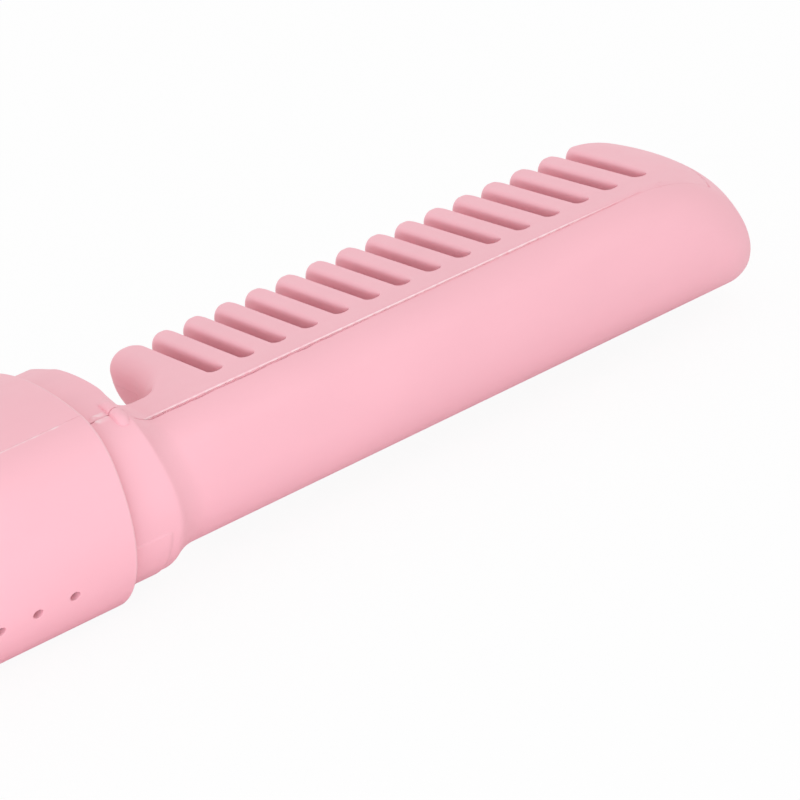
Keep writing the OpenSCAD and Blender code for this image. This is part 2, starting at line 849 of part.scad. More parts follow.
// Plane under the heads of the tail screws, and the end of their pilot holes
tail_seat = 8;
tail_screw_x = body_x + tail_lip_l - tail_seat;
tail_pilot_x = tail_screw_x + tail_screw_l + pilot_gap;
head_h = 0.7;

module tail_screws() {
    color(METAL) for (z = tail_screw_z) {
        rod(tail_screw_x, tail_screw_x + tail_screw_l, 0, z, screw_d);
        rod(tail_screw_x - head_h * screw_d, tail_screw_x, 0, z, 2 * screw_d);
    }
}

module charge_board() {
    color(GREEN) block([charge_x, -charge_w / 2, usb_z - usb_h / 2 - charge_t],
        [charge_x + charge_l, charge_w / 2, usb_z - usb_h / 2]);
}

module usb_socket() {
    color(METAL) difference() {
        along_x(usb_x, usb_x + usb_l) usb_shape(0);
        along_x(usb_x - 1, usb_x + usb_l - 1) usb_shape(-0.35);
    }
    color(BLACK) block([usb_x + 1, -3, usb_z - 0.35], [usb_x + usb_l - 0.5, 3, usb_z + 0.35]);
}

// Battery

cell_x = front_x - spigot_l - cradle_front - cell_end - cell_l;
cell_z = floor_z + 0.7 + cell_d / 2;
cradle_gap = 0.15;

module battery_cell() {
    color([0.2, 0.45, 0.75]) rod(cell_x, cell_x + cell_l, 0, cell_z, cell_d);
}

module battery_cradle() {
    r = cell_d / 2 + cradle_gap;
    end = tab_t + 0.1;
    color(BLACK) intersection() {
        difference() {
            rod(cell_x - end - cradle_wall, cell_x + cell_l + end + cradle_wall, 0, cell_z,
                2 * (r + cradle_wall));
            rod(cell_x - end, cell_x + cell_l + end, 0, cell_z, 2 * r);
            block([tail_x, -far, cell_z + 3], [front_x, far, far]);
            block([cell_x - 10, -3, cell_z - 2], [cell_x + cell_l + 10, 3, far]);
        }
        block([tail_x, -far, floor_z], [front_x, far, far]);
    }
}

module battery_tabs() {
    color(METAL) {
        block([cell_x - tab_t, -2.5, cell_z - 5], [cell_x, 2.5, cell_z + 6]);
        block([cell_x + cell_l, -2.5, cell_z - 5], [cell_x + cell_l + tab_t, 2.5, cell_z + 6]);
    }
}

module battery_foam() {
    color("dimgray") block([cell_x + 20, -5, cell_z + cell_d / 2 + 0.05],
        [cell_x + 50, 5, board_h - board_t]);
}

// Wires from the tabs of the cell up to the underside of the board
module battery_leads() {
    top = board_h - board_t - 0.7;
    out = tab_t + 1.2;
    color("crimson") for (end = [[cell_x, -1], [cell_x + cell_l, 1]]) wire([
        [end[0] + end[1] * out, 0, cell_z + 4],
        [end[0] + end[1] * out, 0.5, cell_z + 8],
        [end[0] + end[1] * 0.2, 1, top - 1],
        [end[0] - end[1] * 3, 1.5, top]
    ], lead_d);
}

// Wires from the charging board, past the cell's end, to the main board
module charge_leads() {
    color("crimson") for (side = [-1, 1]) wire([
        [charge_x + charge_l - 4, 5 * side, usb_z - usb_h / 2 + lead_d / 2 + 0.1],
        [charge_x + charge_l - 1, 5 * side, usb_z],
        [charge_x + charge_l + 0.5, 5.5 * side, 2],
        [board_back + 2, 6 * side, board_h - board_t - 0.9],
        [board_back + 6, 6 * side, board_h - board_t - 0.7]
    ], lead_d);
}

// Controls

board_front = front_x - spigot_l - board_gap;
board_back = board_front - board_l;
lens_x = board_front - lens_inset - lens_l;
power_x = lens_x - lens_gap - key_gap - power_d / 2;
heat_up_x = power_x - power_d / 2 - key_gap - heat_d / 2;
heat_down_x = heat_up_x - heat_d - key_gap;
key_places = [[power_x, power_d], [heat_up_x, heat_d], [heat_down_x, heat_d]];
rear_screw_x = (heat_up_x + heat_down_x) / 2;
rear_screw_y = 8.6;
board_screw_places = [[board_front - screw_inset, 0], [rear_screw_x, rear_screw_y],
    [rear_screw_x, -rear_screw_y]];
lens_round = 2;
lens_step = 0.7;
display_h = 3;
key_low = board_h + 3;
key_flange = 1;
key_rim = 1.2;
switch_h = 1.8;
stem_d = 2.4;

module main_board() {
    color(GREEN) difference() {
        block([board_back, -board_w / 2, board_h - board_t], [board_front, board_w / 2, board_h]);
        for (p = board_screw_places)
            post(p[0], p[1], board_screw_d + 2 * screw_gap, board_h - board_t - 1, board_h + 1);
    }
}

module board_chips() {
    color(BLACK) {
        block([board_front - 30, -11, board_h], [board_front - 22, -6.5, board_h + 1]);
        block([board_front - 10, 4.5, board_h], [board_front - 4, 10, board_h + 1.4]);
    }
}

module board_screws() {
    color(METAL) for (p = board_screw_places)
        screw(p[0], p[1], board_h - board_t, board_screw_d, board_screw_l);
}

module display_module() {
    color("white") block([lens_x + 1, -lens_w / 2 + 0.5, board_h],
        [lens_x + lens_l - 1, lens_w / 2 - 0.5, board_h + display_h]);
}

// Space of the display window, grown by gap, and of its lower step, grown by step
module lens_window(gap, step) {
    g = gap + step;
    upright(0, far / 2) translate([lens_x - g, -lens_w / 2 - g])
        rounded_plan(lens_l + 2 * g, lens_w + 2 * g, lens_round + g);
}

module display_lens() {
    color(BLACK) {
        intersection() {
            difference() {
                along_x(lens_x - 2, lens_x + lens_l + 2) polygon(crowned(0, corner_r));
                along_x(lens_x - 3, lens_x + lens_l + 3)
                    polygon(crowned(handle_wall + lens_step / 2, corner_r - handle_wall - lens_step / 2));
            }
            lens_window(0, 0);
        }
        intersection() {
            difference() {
                along_x(lens_x - 2, lens_x + lens_l + 2)
                    polygon(crowned(handle_wall, corner_r - handle_wall));
                along_x(lens_x - 3, lens_x + lens_l + 3)
                    polygon(crowned(handle_wall + lens_step, corner_r - handle_wall - lens_step));
            }
            lens_window(0, 1);
        }
    }
}

// Half outline of a key for turning: a flange, a stem and a rounded top
module key_profile(d) {
    top = crown_h + key_proud;
    polygon(concat(
        [[0, key_low], [d / 2 + key_rim, key_low], [d / 2 + key_rim, key_low + key_flange],
            [d / 2, key_low + key_flange]],
        arc([d / 2 - 0.6, top - 0.6], 0.6, 0, 90, 6),
        [[d / 2 - 0.6, top], [0, top]]));
}

module key(i) {
    color(PINK) translate([key_places[i][0], 0, axis_z])
        rotate_extrude() key_profile(key_places[i][1]);
}

module power_key() { key(0); }
module heat_up_key() { key(1); }
module heat_down_key() { key(2); }

module tact_switches() {
    color(METAL) for (k = key_places) difference() {
        block([k[0] - 3, -3, board_h], [k[0] + 3, 3, board_h + switch_h]);
        post(k[0], 0, stem_d + 2 * slide_gap, board_h + 0.5, board_h + switch_h + 1);
    }
}

module plunger(i) {
    color(BLACK) post(key_places[i][0], 0, stem_d, board_h + 0.6 + key_travel, key_low);
}

module power_plunger() { plunger(0); }
module heat_up_plunger() { plunger(1); }
module heat_down_plunger() { plunger(2); }

comb_top_shell();
comb_back_shell();
comb_plate();
ceramic_heater();
mica_sheet();
heater_clip();
thermal_fuse();
temperature_sensor();
heater_leads();
comb_screws();
handle_cover();
handle_body();
tail_cap();
tail_screws();
battery_cell();
battery_cradle();
battery_tabs();
battery_foam();
main_board();
board_chips();
display_module();
display_lens();
power_key();
heat_up_key();
heat_down_key();
tact_switches();
power_plunger();
heat_up_plunger();
heat_down_plunger();
board_screws();
charge_board();
usb_socket();
battery_leads();
charge_leads();
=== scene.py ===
"""Looks of a cordless hair straightening comb: shells, keys, display window, screws and port.

The forms are worked out in millimetres: X runs along the comb to its tip, Y towards the tips of the
teeth, and Z up from the axis of the handle. Meshes are put into the frame in metres.
"""

from __future__ import annotations

import logging
import math
from dataclasses import dataclass, field
from enum import Enum
from typing import Callable, Sequence

import bpy
import numpy as np
from mathutils import Matrix, Vector


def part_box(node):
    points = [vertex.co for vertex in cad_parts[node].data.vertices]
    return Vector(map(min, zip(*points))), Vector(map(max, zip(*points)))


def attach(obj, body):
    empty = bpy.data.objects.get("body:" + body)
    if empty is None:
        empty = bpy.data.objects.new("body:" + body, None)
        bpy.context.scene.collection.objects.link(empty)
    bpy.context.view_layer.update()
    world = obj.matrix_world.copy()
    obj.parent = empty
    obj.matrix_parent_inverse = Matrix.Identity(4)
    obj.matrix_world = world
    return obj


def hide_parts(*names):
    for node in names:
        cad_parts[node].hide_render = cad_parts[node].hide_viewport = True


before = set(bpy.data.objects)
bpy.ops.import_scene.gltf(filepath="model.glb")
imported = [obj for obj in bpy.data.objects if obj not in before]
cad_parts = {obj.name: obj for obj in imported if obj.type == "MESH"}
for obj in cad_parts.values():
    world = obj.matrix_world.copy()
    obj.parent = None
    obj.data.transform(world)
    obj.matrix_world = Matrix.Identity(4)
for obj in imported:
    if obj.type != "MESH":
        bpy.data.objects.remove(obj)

Array = np.ndarray
Distance = Callable[[Array, Array, Array], Array]
Triple = tuple[float, float, float]
Colour = Triple
Object = bpy.types.Object
Tree = bpy.types.NodeTree
Node = bpy.types.Node
Socket = bpy.types.NodeSocket
MM = 0.001
FAR = 100.0
SHARP_DEGREES = 35.0
NOISE_LOW = 0.3
NOISE_HIGH = 0.7
HOUSING = "housing"
# Attribute for the share of pale colour: stress-whitening, and painted highlights.
WHITENING_AND_HIGHLIGHT = "whitening_and_painted_highlight"
log = logging.getLogger("comb")


def round_max(a: Array, b: Array, radius: float | Array) -> Array:
    """Intersects two distances with a rounded edge.

    Args:
        a: Distance to the first form.
        b: Distance to the second form.
        radius: Radius of the edge where they meet.

    Returns:
        The distance to what lies in both forms.
    """
    over_a = np.maximum(a + radius, 0.0)
    over_b = np.maximum(b + radius, 0.0)
    return np.minimum(-radius, np.maximum(a, b)) + np.sqrt(over_a * over_a + over_b * over_b)


def round_min(a: Array, b: Array, radius: float | Array) -> Array:
    """Joins two distances with a filleted corner of that radius."""
    return -round_max(-a, -b, radius)


def common(*forms: Array) -> Array:
    """Distance to what lies in all the forms."""
    return np.maximum.reduce(forms)


def ease(value: Array, low: float, high: float) -> Array:
    """Goes smoothly from 0 at low to 1 at high."""
    share = np.clip((value - low) / (high - low), 0.0, 1.0)
    return share * share * (3.0 - 2.0 * share)


def mix(a: float, b: float, share: Array) -> Array:
    """Mixes two numbers by a share from 0 to 1."""
    return a * (1.0 - share) + b * share


@dataclass(frozen=True)
class Span:
    """A stretch of an axis where the lines of a grid lie closer."""

    low: float
    high: float
    step: float


def grid_lines(low: float, high: float, step: float, spans: Sequence[Span] = ()) -> Array:
    """Places the lines of a grid along one axis.

    Args:
        low: First line.
        high: The lines end past this.
        step: Usual distance between lines.
        spans: Stretches with closer lines.

    Returns:
        The places of the lines, in rising order.
    """
    tiny = 1e-6
    lines = [low]
    while lines[-1] < high:
        here = lines[-1] + tiny
        steps = [span.step for span in spans if span.low <= here < span.high]
        size = min(steps, default=step)
        finer = [span.low for span in spans if span.step < size]
        starts = [start for start in finer if here + tiny < start < here + size]
        lines.append(min([lines[-1] + size, *starts]))
    return np.array(lines)


@dataclass
class SurfaceGrid:
    """Turns a distance into a closed mesh of quads that keeps its sharp edges."""

    xs: Array
    ys: Array
    zs: Array
    slope_step: float = 0.002
    steadiness: float = 0.03

    def slope(self, form: Distance, at: Array) -> Array:
        """Measures the direction in which a distance grows at each point."""
        parts = []
        for axis in range(3):
            step = np.zeros(3)
            step[axis] = self.slope_step
            ahead, behind = (at + step).T, (at - step).T
            parts.append(form(*ahead) - form(*behind))
        grown = np.stack(parts, -1)
        return grown / np.maximum(np.linalg.norm(grown, axis=1), 1e-12)[:, None]

    def crossings(self, form: Distance, values: Array, axis: int) -> tuple[Array, Array, Array]:
        """Finds where the surface crosses the grid's edges along one axis.

        Args:
            form: The distance.
            values: The distance at every node of the grid.
            axis: Direction of the edges.

        Returns:
            The lower node of each crossed edge, the crossing, and whether the lower node is inside.
        """
        inside = values < 0.0
        first = [slice(None)] * 3
        second = [slice(None)] * 3
        first[axis], second[axis] = slice(None, -1), slice(1, None)
        nodes = np.argwhere(inside[tuple(first)] != inside[tuple(second)])
        ends = nodes.copy()
        ends[:, axis] += 1
        lines = (self.xs, self.ys, self.zs)
        a = np.stack([lines[k][nodes[:, k]] for k in range(3)], -1)
        b = np.stack([lines[k][ends[:, k]] for k in range(3)], -1)
        value_a, value_b = values[tuple(nodes.T)], values[tuple(ends.T)]
        starts_inside = value_a < 0.0
        for _ in range(4):
            share = np.clip(value_a / (value_a - value_b), 0.02, 0.98)
            point = a + (b - a) * share[:, None]
            value = form(*point.T)
            same = (value < 0.0) == (value_a < 0.0)
            a, value_a = np.where(same[:, None], point, a), np.where(same, value, value_a)
            b, value_b = np.where(same[:, None], b, point), np.where(same, value_b, value)
        share = value_a / np.where(value_a == value_b, 1.0, value_a - value_b)
        return nodes, a + (b - a) * np.clip(share, 0.0, 1.0)[:, None], starts_inside

    def mesh(self, form: Distance) -> tuple[Array, Array]:
        """Meshes the surface where a distance is zero.

        Args:
            form: The distance, negative inside.

        Returns:
            The points, and the quads as indices of points.
        """
        grid = np.meshgrid(self.xs, self.ys, self.zs, indexing="ij")
        values = form(*grid)
        cells_shape = tuple(size - 1 for size in values.shape)
        cells, planes, quads = [], [], []
        for axis in range(3):
            nodes, points, starts_inside = self.crossings(form, values, axis)
            slopes = self.slope(form, points)
            b, c = (axis + 1) % 3, (axis + 2) % 3
            corners = []
            for step_b, step_c in ((-1, -1), (0, -1), (0, 0), (-1, 0)):
                cell = nodes.copy()
                cell[:, b] += step_b
                cell[:, c] += step_c
                corners.append(np.ravel_multi_index(tuple(cell.T), cells_shape))
                cells.append(corners[-1])
                planes.append(np.concatenate([points, slopes], 1))
            ring = np.stack(corners, -1)
            quads.append(np.where(starts_inside[:, None], ring, ring[:, ::-1]))
        used, which = np.unique(np.concatenate(cells), return_inverse=True)
        points = self.settle(form, used, which, np.concatenate(planes), cells_shape)
        order = np.searchsorted(used, np.concatenate(quads))
        return points, order

    def settle(
        self, form: Distance, used: Array, which: Array, planes: Array, shape: tuple[int, ...]
    ) -> Array:
        """Places one point in each crossed cell, on its edge or corner where it has one.

        Args:
            form: The distance.
            used: The crossed cells.
            which: For each crossing, the position of its cell in used.
            planes: A point and a direction for each crossing.
            shape: The number of cells along each axis.

        Returns:
            A point for each cell.
        """
        count = len(used)
        share = np.bincount(which, minlength=count).astype(float)
        centre = np.stack([np.bincount(which, planes[:, k], count) / share for k in range(3)], -1)
        offset = planes[:, :3] - centre[which]
        normal = planes[:, 3:]
        reach = (normal * offset).sum(1)
        system = np.zeros((count, 3, 3))
        target = np.zeros((count, 3))
        for i in range(3):
            target[:, i] = np.bincount(which, normal[:, i] * reach, count)
            for j in range(3):
                system[:, i, j] = np.bincount(which, normal[:, i] * normal[:, j], count)
            system[:, i, i] += self.steadiness * share
        moved = centre + np.linalg.solve(system, target[:, :, None])[:, :, 0]
        index = np.unravel_index(used, shape)
        for axis, lines in enumerate((self.xs, self.ys, self.zs)):
            moved[:, axis] = np.clip(moved[:, axis], lines[index[axis]], lines[index[axis] + 1])
        for _ in range(2):
            moved -= self.slope(form, moved) * form(*moved.T)[:, None]
        return moved


def new_object(name: str, data: bpy.types.ID) -> Object:
    """Makes an object of a mesh, a lamp or a camera in the scene."""
    made = bpy.data.objects.new(name, data)
    bpy.context.scene.collection.objects.link(made)
    return made


def make_object(name: str, points: Array, faces: Array) -> Object:
    """Makes a smooth-shaded object from points in millimetres about the handle's axis."""
    placed = points * MM
    placed[:, 2] += STATIONS.axis_z * MM
    mesh = bpy.data.meshes.new(name)
    mesh.from_pydata(placed.tolist(), [], faces.tolist())
    mesh.update()
    mesh.polygons.foreach_set("use_smooth", [True] * len(mesh.polygons))
    mesh.set_sharp_from_angle(angle=math.radians(SHARP_DEGREES))
    return new_object(name, mesh)


def box_mm(node: str) -> tuple[Array, Array]:
    """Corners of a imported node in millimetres, with its height in the frame."""
    low, high = (np.array(corner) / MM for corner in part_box(node))
    return low, high


@dataclass(frozen=True)
class Stations:
    """Places along the comb in millimetres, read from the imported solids."""

    tail_x: float
    body_x: float
    front_x: float
    tip_x: float
    axis_z: float

    @classmethod
    def read(cls, crown_height: float) -> "Stations":
        """Reads the places from the boxes of the handle's and the comb's shells."""
        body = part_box("handle_body")
        return cls(
            tail_x=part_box("tail_cap")[0].x / MM,
            body_x=body[0].x / MM,
            front_x=body[1].x / MM,
            tip_x=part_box("comb_back_shell")[1].x / MM,
            axis_z=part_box("handle_cover")[1].z / MM - crown_height,
        )


@dataclass(frozen=True)
class CrownedSection:
    """Round section of the handle and the collar, with a flatter crown on top."""

    radius: float = 19.3
    crown_height: float = 12.6
    crown_radius: float = 50.0
    corner: float = 8.0

    def distance(self, y: Array, z: Array, inset: float = 0.0) -> Array:
        """Distance to the section, drawn in by an inset."""
        away = np.abs(y)
        round_part = np.hypot(y, z) - self.radius
        crown = np.hypot(y, z - self.crown_z) - self.crown_radius
        corner_y, corner_z = self.corner_centre
        over_y, over_z = away - corner_y, z - corner_z
        past_round = corner_y * over_z > corner_z * over_y
        before_crown = (corner_z - self.crown_z) * over_y > corner_y * over_z
        corner = np.hypot(over_y, over_z) - self.corner
        return np.where(past_round & before_crown, corner, np.maximum(round_part, crown)) + inset

    @property
    def crown_z(self) -> float:
        """Height of the crown's centre."""
        return self.crown_height - self.crown_radius

    @property
    def corner_centre(self) -> tuple[float, float]:
        """Centre of the round corner between the crown and the round part."""
        side = self.radius - self.corner
        top = self.crown_radius - self.corner
        z = (side**2 - top**2 + self.crown_z**2) / (2.0 * self.crown_z)
        return math.sqrt(side**2 - z**2), z

    def parting(self) -> float:
        """Half width of the crown, where the handle's shells part."""
        return self.corner_centre[0] * self.crown_radius / (self.crown_radius - self.corner)


SECTION = CrownedSection()
STATIONS = Stations.read(SECTION.crown_height)


class Noise:
    """A gentle repeatable roughness made of a few sine waves."""

    def __init__(self, seed: int, shortest: float, waves: int = 9) -> None:
        """Draws the waves from a seed, with their shortest wavelength in millimetres."""
        draw = np.random.default_rng(seed)
        self.rates = 2.0 * math.pi / (shortest * (1.0 + 3.0 * draw.random(waves)))
        self.phases = 2.0 * math.pi * draw.random(waves)

    def at(self, place: Array) -> Array:
        """Value from about -1 to 1 at each place along a line."""
        total = np.zeros_like(place)
        for rate, phase in zip(self.rates, self.phases):
            total = total + np.sin(rate * place + phase)
        return total / math.sqrt(2.0 * len(self.rates))


@dataclass
class CombHead:
    """Comb head with its collar: round back, flat face, slots between teeth and a rounded tip."""

    radius: float = 15.9
    flat_height: float = 6.0
    spine_fillet: float = 4.4
    nose_fillet: float = 2.65
    side_reach: float = 17.6
    side_blend: float = 4.0
    dome_length: float = 45.5
    dome_width: float = 46.6
    dome_height: float = 91.3
    dome_y: float = 7.98
    dome_z: float = -6.41
    dome_edge: float = 2.0
    dome_top: float = 15.52
    collar_inset: float = 1.8
    collar_length: float = 7.0
    collar_wall: float = 2.2
    shoulder_start: float = 5.5
    shoulder_lean: float = 2.4
    shoulder_length: float = 3.6
    shoulder_crisp: float = 0.25
    shoulder_soft: float = 0.6
    low_length: float = 4.6
    low_blend: tuple[float, float] = (-12.0, 8.0)
    soft_blend: tuple[float, float] = (-2.0, 12.0)
    crown_start: float = 6.0
    crown_length: float = 0.7
    crown_low: float = 8.8
    crown_high: float = 10.6
    spigot_length: float = 7.5
    spigot_foot: float = 1.7
    gap_start: float = 8.4
    gap_end: float = 16.6
    gap_root: float = 4.3
    gap_corner: float = 2.5
    gap_edge: float = 3.0
    gap_rim: float = 0.3
    gap_lean: float = 2.0
    gap_lean_full: float = 9.0
    gap_curve_z: float = 2.4
    gap_curve: float = 8.5
    gap_curve_most: float = 3.0
    gap_soft_start: float = -4.0
    gap_soft_full: float = 2.0
    slot_start: float = 21.5
    slot_pitch: float = 5.0
    slot_width: float = 2.25
    slot_root: float = 6.5
    slot_count: int = 15
    crisp_edge: float = 0.15
    soft_edge: float = 0.75
    crisp_end: float = 1.05
    first_end: float = 2.5
    soft_end: float = 2.3
    root_fade: float = 3.0
    end_start: float = 11.6
    end_full: float = 16.1
    joint_z: float = 2.0
    parting: float = 11.39
    collar_parting: float = 12.4
    parting_bend: tuple[float, float] = (5.5, 8.5)
    slit: float = 0.16
    far_slit: float = 0.06
    line_reach: tuple[float, float] = (0.8, 1.3)
    plain_edge: float = 0.004
    well_edge: float = 0.2
    plate_thickness: float = 2.0
    channel_side: float = 8.1
    wall: float = 1.8
    screw_seat: float = -4.0
    screw_well: float = 2.2
    bead_in: float = 0.14
    bead_radius: float = 0.15
    bead_rise: float = 0.03
    bead_start: float = 1.2
    bead_end: float = 14.0
    bead_fade: tuple[float, float] = (70.0, 90.0)
    # Reach of the painted highlight around the bead.
    bead_highlight: tuple[float, float] = (0.14, 0.22)
    slit_fade: tuple[float, float] = (24.0, 50.0)
    plate_reach: float = 12.9
    plate_side: float = 13.0
    plate_gap: float = 0.5
    rib_x: float = 4.5
    rib_half_width: float = 0.88
    rib_height: float = 0.6
    rib_start: tuple[float, float] = (8.9, 10.9)
    rib_end: float = 14.0
    pad_angle: float = 25.7
    pad_start: float = 6.2
    pad_slope: float = 0.4
    pad_corner: float = 0.5
    pad_height: float = 0.16
    pad_fade: tuple[float, float] = (-0.12, 0.16)
    flash_height: float = 0.2
    flash_start: tuple[float, float] = (1.1, 1.7)
    flash_end: tuple[float, float] = (2.9, 3.6)
    flash_waver: float = 0.35
    flash_ridges: tuple[Triple, ...] = ((-0.55, 0.4, 0.0), (0.5, 0.38, 3.0))
    ragged: Noise = field(default_factory=lambda: Noise(7, 0.5))
    waver: Noise = field(default_factory=lambda: Noise(11, 3.0))
    screw_places: list[Array] = field(default_factory=lambda: screw_heads("comb_screws"))

    @property
    def slot_x(self) -> float:
        """Start of the first slot."""
        return STATIONS.front_x + self.slot_start

    @property
    def slots_end(self) -> float:
        """End of the last slot."""
        return self.slot_x + (self.slot_count - 1) * self.slot_pitch + self.slot_width

    @property
    def collar_x(self) -> float:
        """Front of the collar's hollow part."""
        return STATIONS.front_x + self.collar_length

    def blank(self, x: Array, y: Array, z: Array) -> Array:
        """Distance to the comb without slots: round back, flat face, rounded tip."""
        ahead = np.maximum(x - STATIONS.tip_x + self.dome_length, 0.0) / self.dome_length
        beside, above = (y - self.dome_y) / self.dome_width, (z - self.dome_z) / self.dome_height
        reach = np.sqrt(ahead**2 + beside**2 + above**2)
        slope = (ahead / self.dome_length) ** 2 + (beside / self.dome_width) ** 2
        slope = np.sqrt(slope + (above / self.dome_height) ** 2)
        dome = reach * (reach - 1.0) / np.maximum(slope, 1e-6)
        back = np.hypot(y, np.where(y < 0.0, z, np.minimum(z, 0.0))) - self.radius
        side = round_max(back, y - self.side_reach, self.side_blend)
        shell = round_max(np.where(y < 0.0, back, side), dome, self.dome_edge)
        face = round_max(z - self.flat_height, dome, self.dome_top)
        across = ease(y, -2.0, 2.0)
        return round_max(shell, face, mix(self.spine_fillet, self.nose_fillet, across))

    def slot(self, x: Array, y: Array) -> tuple[Array, Array]:
        """Distance to the nearest slot, and how far a place is to the slot's handle side."""
        half = self.slot_width / 2
        number = np.round((x - self.slot_x - half) / self.slot_pitch)
        number = np.clip(number, 0, self.slot_count - 1)
        across = x - self.slot_x - half - number * self.slot_pitch
        behind = np.minimum(y + self.slot_root - half, 0.0)
        return np.hypot(across, behind) - half, np.clip(0.5 - across, 0.0, 1.0)

    def gap(self, x: Array, y: Array, z: Array) -> Array:
        """Distance to the gap behind the first tooth, whose back curves away from it."""
        front = STATIONS.front_x
        away = np.maximum(self.gap_curve_z - z, 0.0) ** 2 / (2.0 * self.gap_curve)
        away = self.gap_curve_most * np.tanh(away / self.gap_curve_most) * ease(y, 0.0, 8.0)
        away = away - self.gap_lean * (1.0 - ease(y, -self.gap_root, self.gap_lean_full))
        along = np.maximum(front + self.gap_start - x, x - front - self.gap_end - away)
        return round_max(along, -self.gap_root - y, self.gap_corner)

    def shouldered(self, x: Array, y: Array, z: Array) -> Array:
        """Distance to the collar as it sweeps down to the comb's blank, later and softer below."""
        section = SECTION.distance(y, z, self.collar_inset)
        low = ease(-z, *self.low_blend)
        past = x - STATIONS.front_x - self.shoulder_start - self.shoulder_lean * low
        soft = mix(self.shoulder_crisp, self.shoulder_soft, ease(-z, *self.soft_blend))
        rounded = np.clip(past + soft, 0.0, 2.0 * soft) ** 2 / (4.0 * soft)
        past = np.where(past < soft, rounded, past)
        left = 1.0 - np.clip(past / mix(self.shoulder_length, self.low_length, low), 0.0, 1.0)
        start = STATIONS.front_x + self.crown_start
        over = 1.0 - ease(x, start, start + self.crown_length)
        left = mix(left**2, over, ease(z, self.crown_low, self.crown_high))
        return section * left + self.blank(x, y, z) * (1.0 - left)

    def solid(self, x: Array, y: Array, z: Array) -> Array:
        """Distance to the head as if it were solid, without small details."""
        solid = self.shouldered(x, y, z)
        slot, handle_side = self.slot(x, y)
        end = ease(y, self.end_start, self.end_full)
        root = ease(y, -self.slot_root, -self.slot_root + self.root_fade)
        soft = mix(self.crisp_edge, self.soft_edge, root)
        along = mix(soft, self.crisp_edge, handle_side)
        crisp_end = np.where(x < self.slot_x + self.slot_width / 2, self.first_end, self.crisp_end)
        at_end = mix(self.soft_end, crisp_end, handle_side)
        solid = round_max(solid, -slot, along * (1.0 - end) + at_end * end)
        rim = mix(self.gap_rim, self.gap_edge, ease(y, self.gap_soft_start, self.gap_soft_full))
        near_tooth = ease(x, STATIONS.front_x + self.gap_start, STATIONS.front_x + self.gap_end)
        return round_max(solid, -self.gap(x, y, z), mix(self.gap_rim, rim, near_tooth))

    def parting_y(self, x: Array) -> Array:
        """Distance of the parting line from the middle plane: it bends outward up the shoulder."""
        front = STATIONS.front_x
        bend = ease(x, *(front + place for place in self.parting_bend))
        return mix(self.collar_parting, self.parting, bend)

    def rib(self, x: Array, y: Array, z: Array) -> Array:
        """Height of the short rib on the collar's near side, across the parting line."""
        along = np.abs(x - STATIONS.front_x - self.rib_x)
        along = along**2 + np.maximum(-y - self.rib_end, 0.0) ** 2
        across = ease(-y, *self.rib_start) * (z > 0.0)
        rise = np.maximum(1.0 - along / self.rib_half_width**2, 0.0)
        return self.rib_height * np.sqrt(rise) * across

    def pad(self, x: Array, y: Array, z: Array) -> Array:
        """Height of the low pad on the collar's lower side."""
        above = (self.pad_angle - np.degrees(np.arctan2(-z, -y))) * math.radians(self.radius)
        before = self.pad_slope * (x - STATIONS.front_x - self.pad_start)
        inside = -round_max(above, before, self.pad_corner)
        return self.pad_height * ease(inside, *self.pad_fade) * (y < 0.0)

    def flash(self, x: Array, y: Array, z: Array) -> Array:
        """Height of the uneven flash beside the collar's parting line, from the rim to the rib."""
        from_line = -self.collar_parting - y
        near = ease(x, *(STATIONS.front_x + place for place in self.flash_start))
        past = ease(x, *(STATIONS.front_x + place for place in self.flash_end))
        near = near * (1.0 - past) * (z > 0.0)
        ridges = 0.0
        for middle, reach, shift in self.flash_ridges:
            uneven = 1.0 + self.flash_waver * self.waver.at(x + shift)
            ridges = ridges + np.exp(-(((from_line - middle) / reach) ** 4)) * uneven
        return self.flash_height * near * np.maximum(ridges, 0.0)

    def whitening_and_painted_highlight(self, x: Array, y: Array, z: Array) -> Array:
        """Share of the pale colour: stress-whitened flash, and a painted highlight along the bead on
        the parting line.
        """
        # The bead's pale line is a painted highlight, not whitened plastic.
        from_bead = np.hypot(y + self.parting - self.bead_in, z - self.flat_height)
        bead = 1.0 - ease(from_bead, *self.bead_highlight)
        bead = bead * ease(x, self.collar_x + 1.0, self.collar_x + 1.6) * self.bead_strength(x)
        bead = bead * (0.75 + 0.35 * self.ragged.at(x))
        flash = self.flash(x, y, z) / self.flash_height * (0.45 + 0.3 * self.ragged.at(x + y))
        return np.clip(np.maximum(flash, bead), 0.0, 1.0)

    def outside(self, x: Array, y: Array, z: Array) -> Array:
        """Distance to the whole head with its outer details."""
        details = self.pad(x, y, z) + np.maximum(self.rib(x, y, z), self.flash(x, y, z))
        under = np.maximum(x - STATIONS.front_x, z + STATIONS.axis_z - self.spigot_foot)
        behind = STATIONS.front_x - self.spigot_length - x
        return common(self.solid(x, y, z) - details, -under, behind)

    def hollow(self, x: Array, y: Array, z: Array) -> Array:
        """Distance to the hollows: the collar, the wire channel and the recess of the plate."""
        collar_end = self.collar_x - self.collar_wall
        inset = self.collar_inset + self.collar_wall
        collar = np.maximum(SECTION.distance(y, z, inset), x - collar_end)
        back = np.hypot(y, z) - (self.radius - self.wall)
        channel = common(back, y + self.channel_side, z, collar_end - x, x - self.slots_end)
        between = self.plate_gap - self.slot(x, y)[0]
        side = -self.plate_side - y
        fins = common(y - self.plate_reach, self.slot_x + 1.0 - x, x - self.slots_end + 1.0)
        spine = common(y + self.slot_root, side, self.slot_x - 0.1 - x, x - self.slots_end - 0.1)
        plate = common(np.minimum(fins, spine), side, between, -z, z - self.plate_thickness)
        return np.minimum.reduce([collar, channel, plate])

    def screw_wells(self, x: Array, y: Array, z: Array) -> Array:
        """Distance to the wells of the comb's screws, from below up to their heads' seats."""
        wells = [np.hypot(x - place[0], y - place[1]) for place in self.screw_places]
        return np.maximum(np.minimum.reduce(wells) - self.screw_well, z - self.screw_seat)

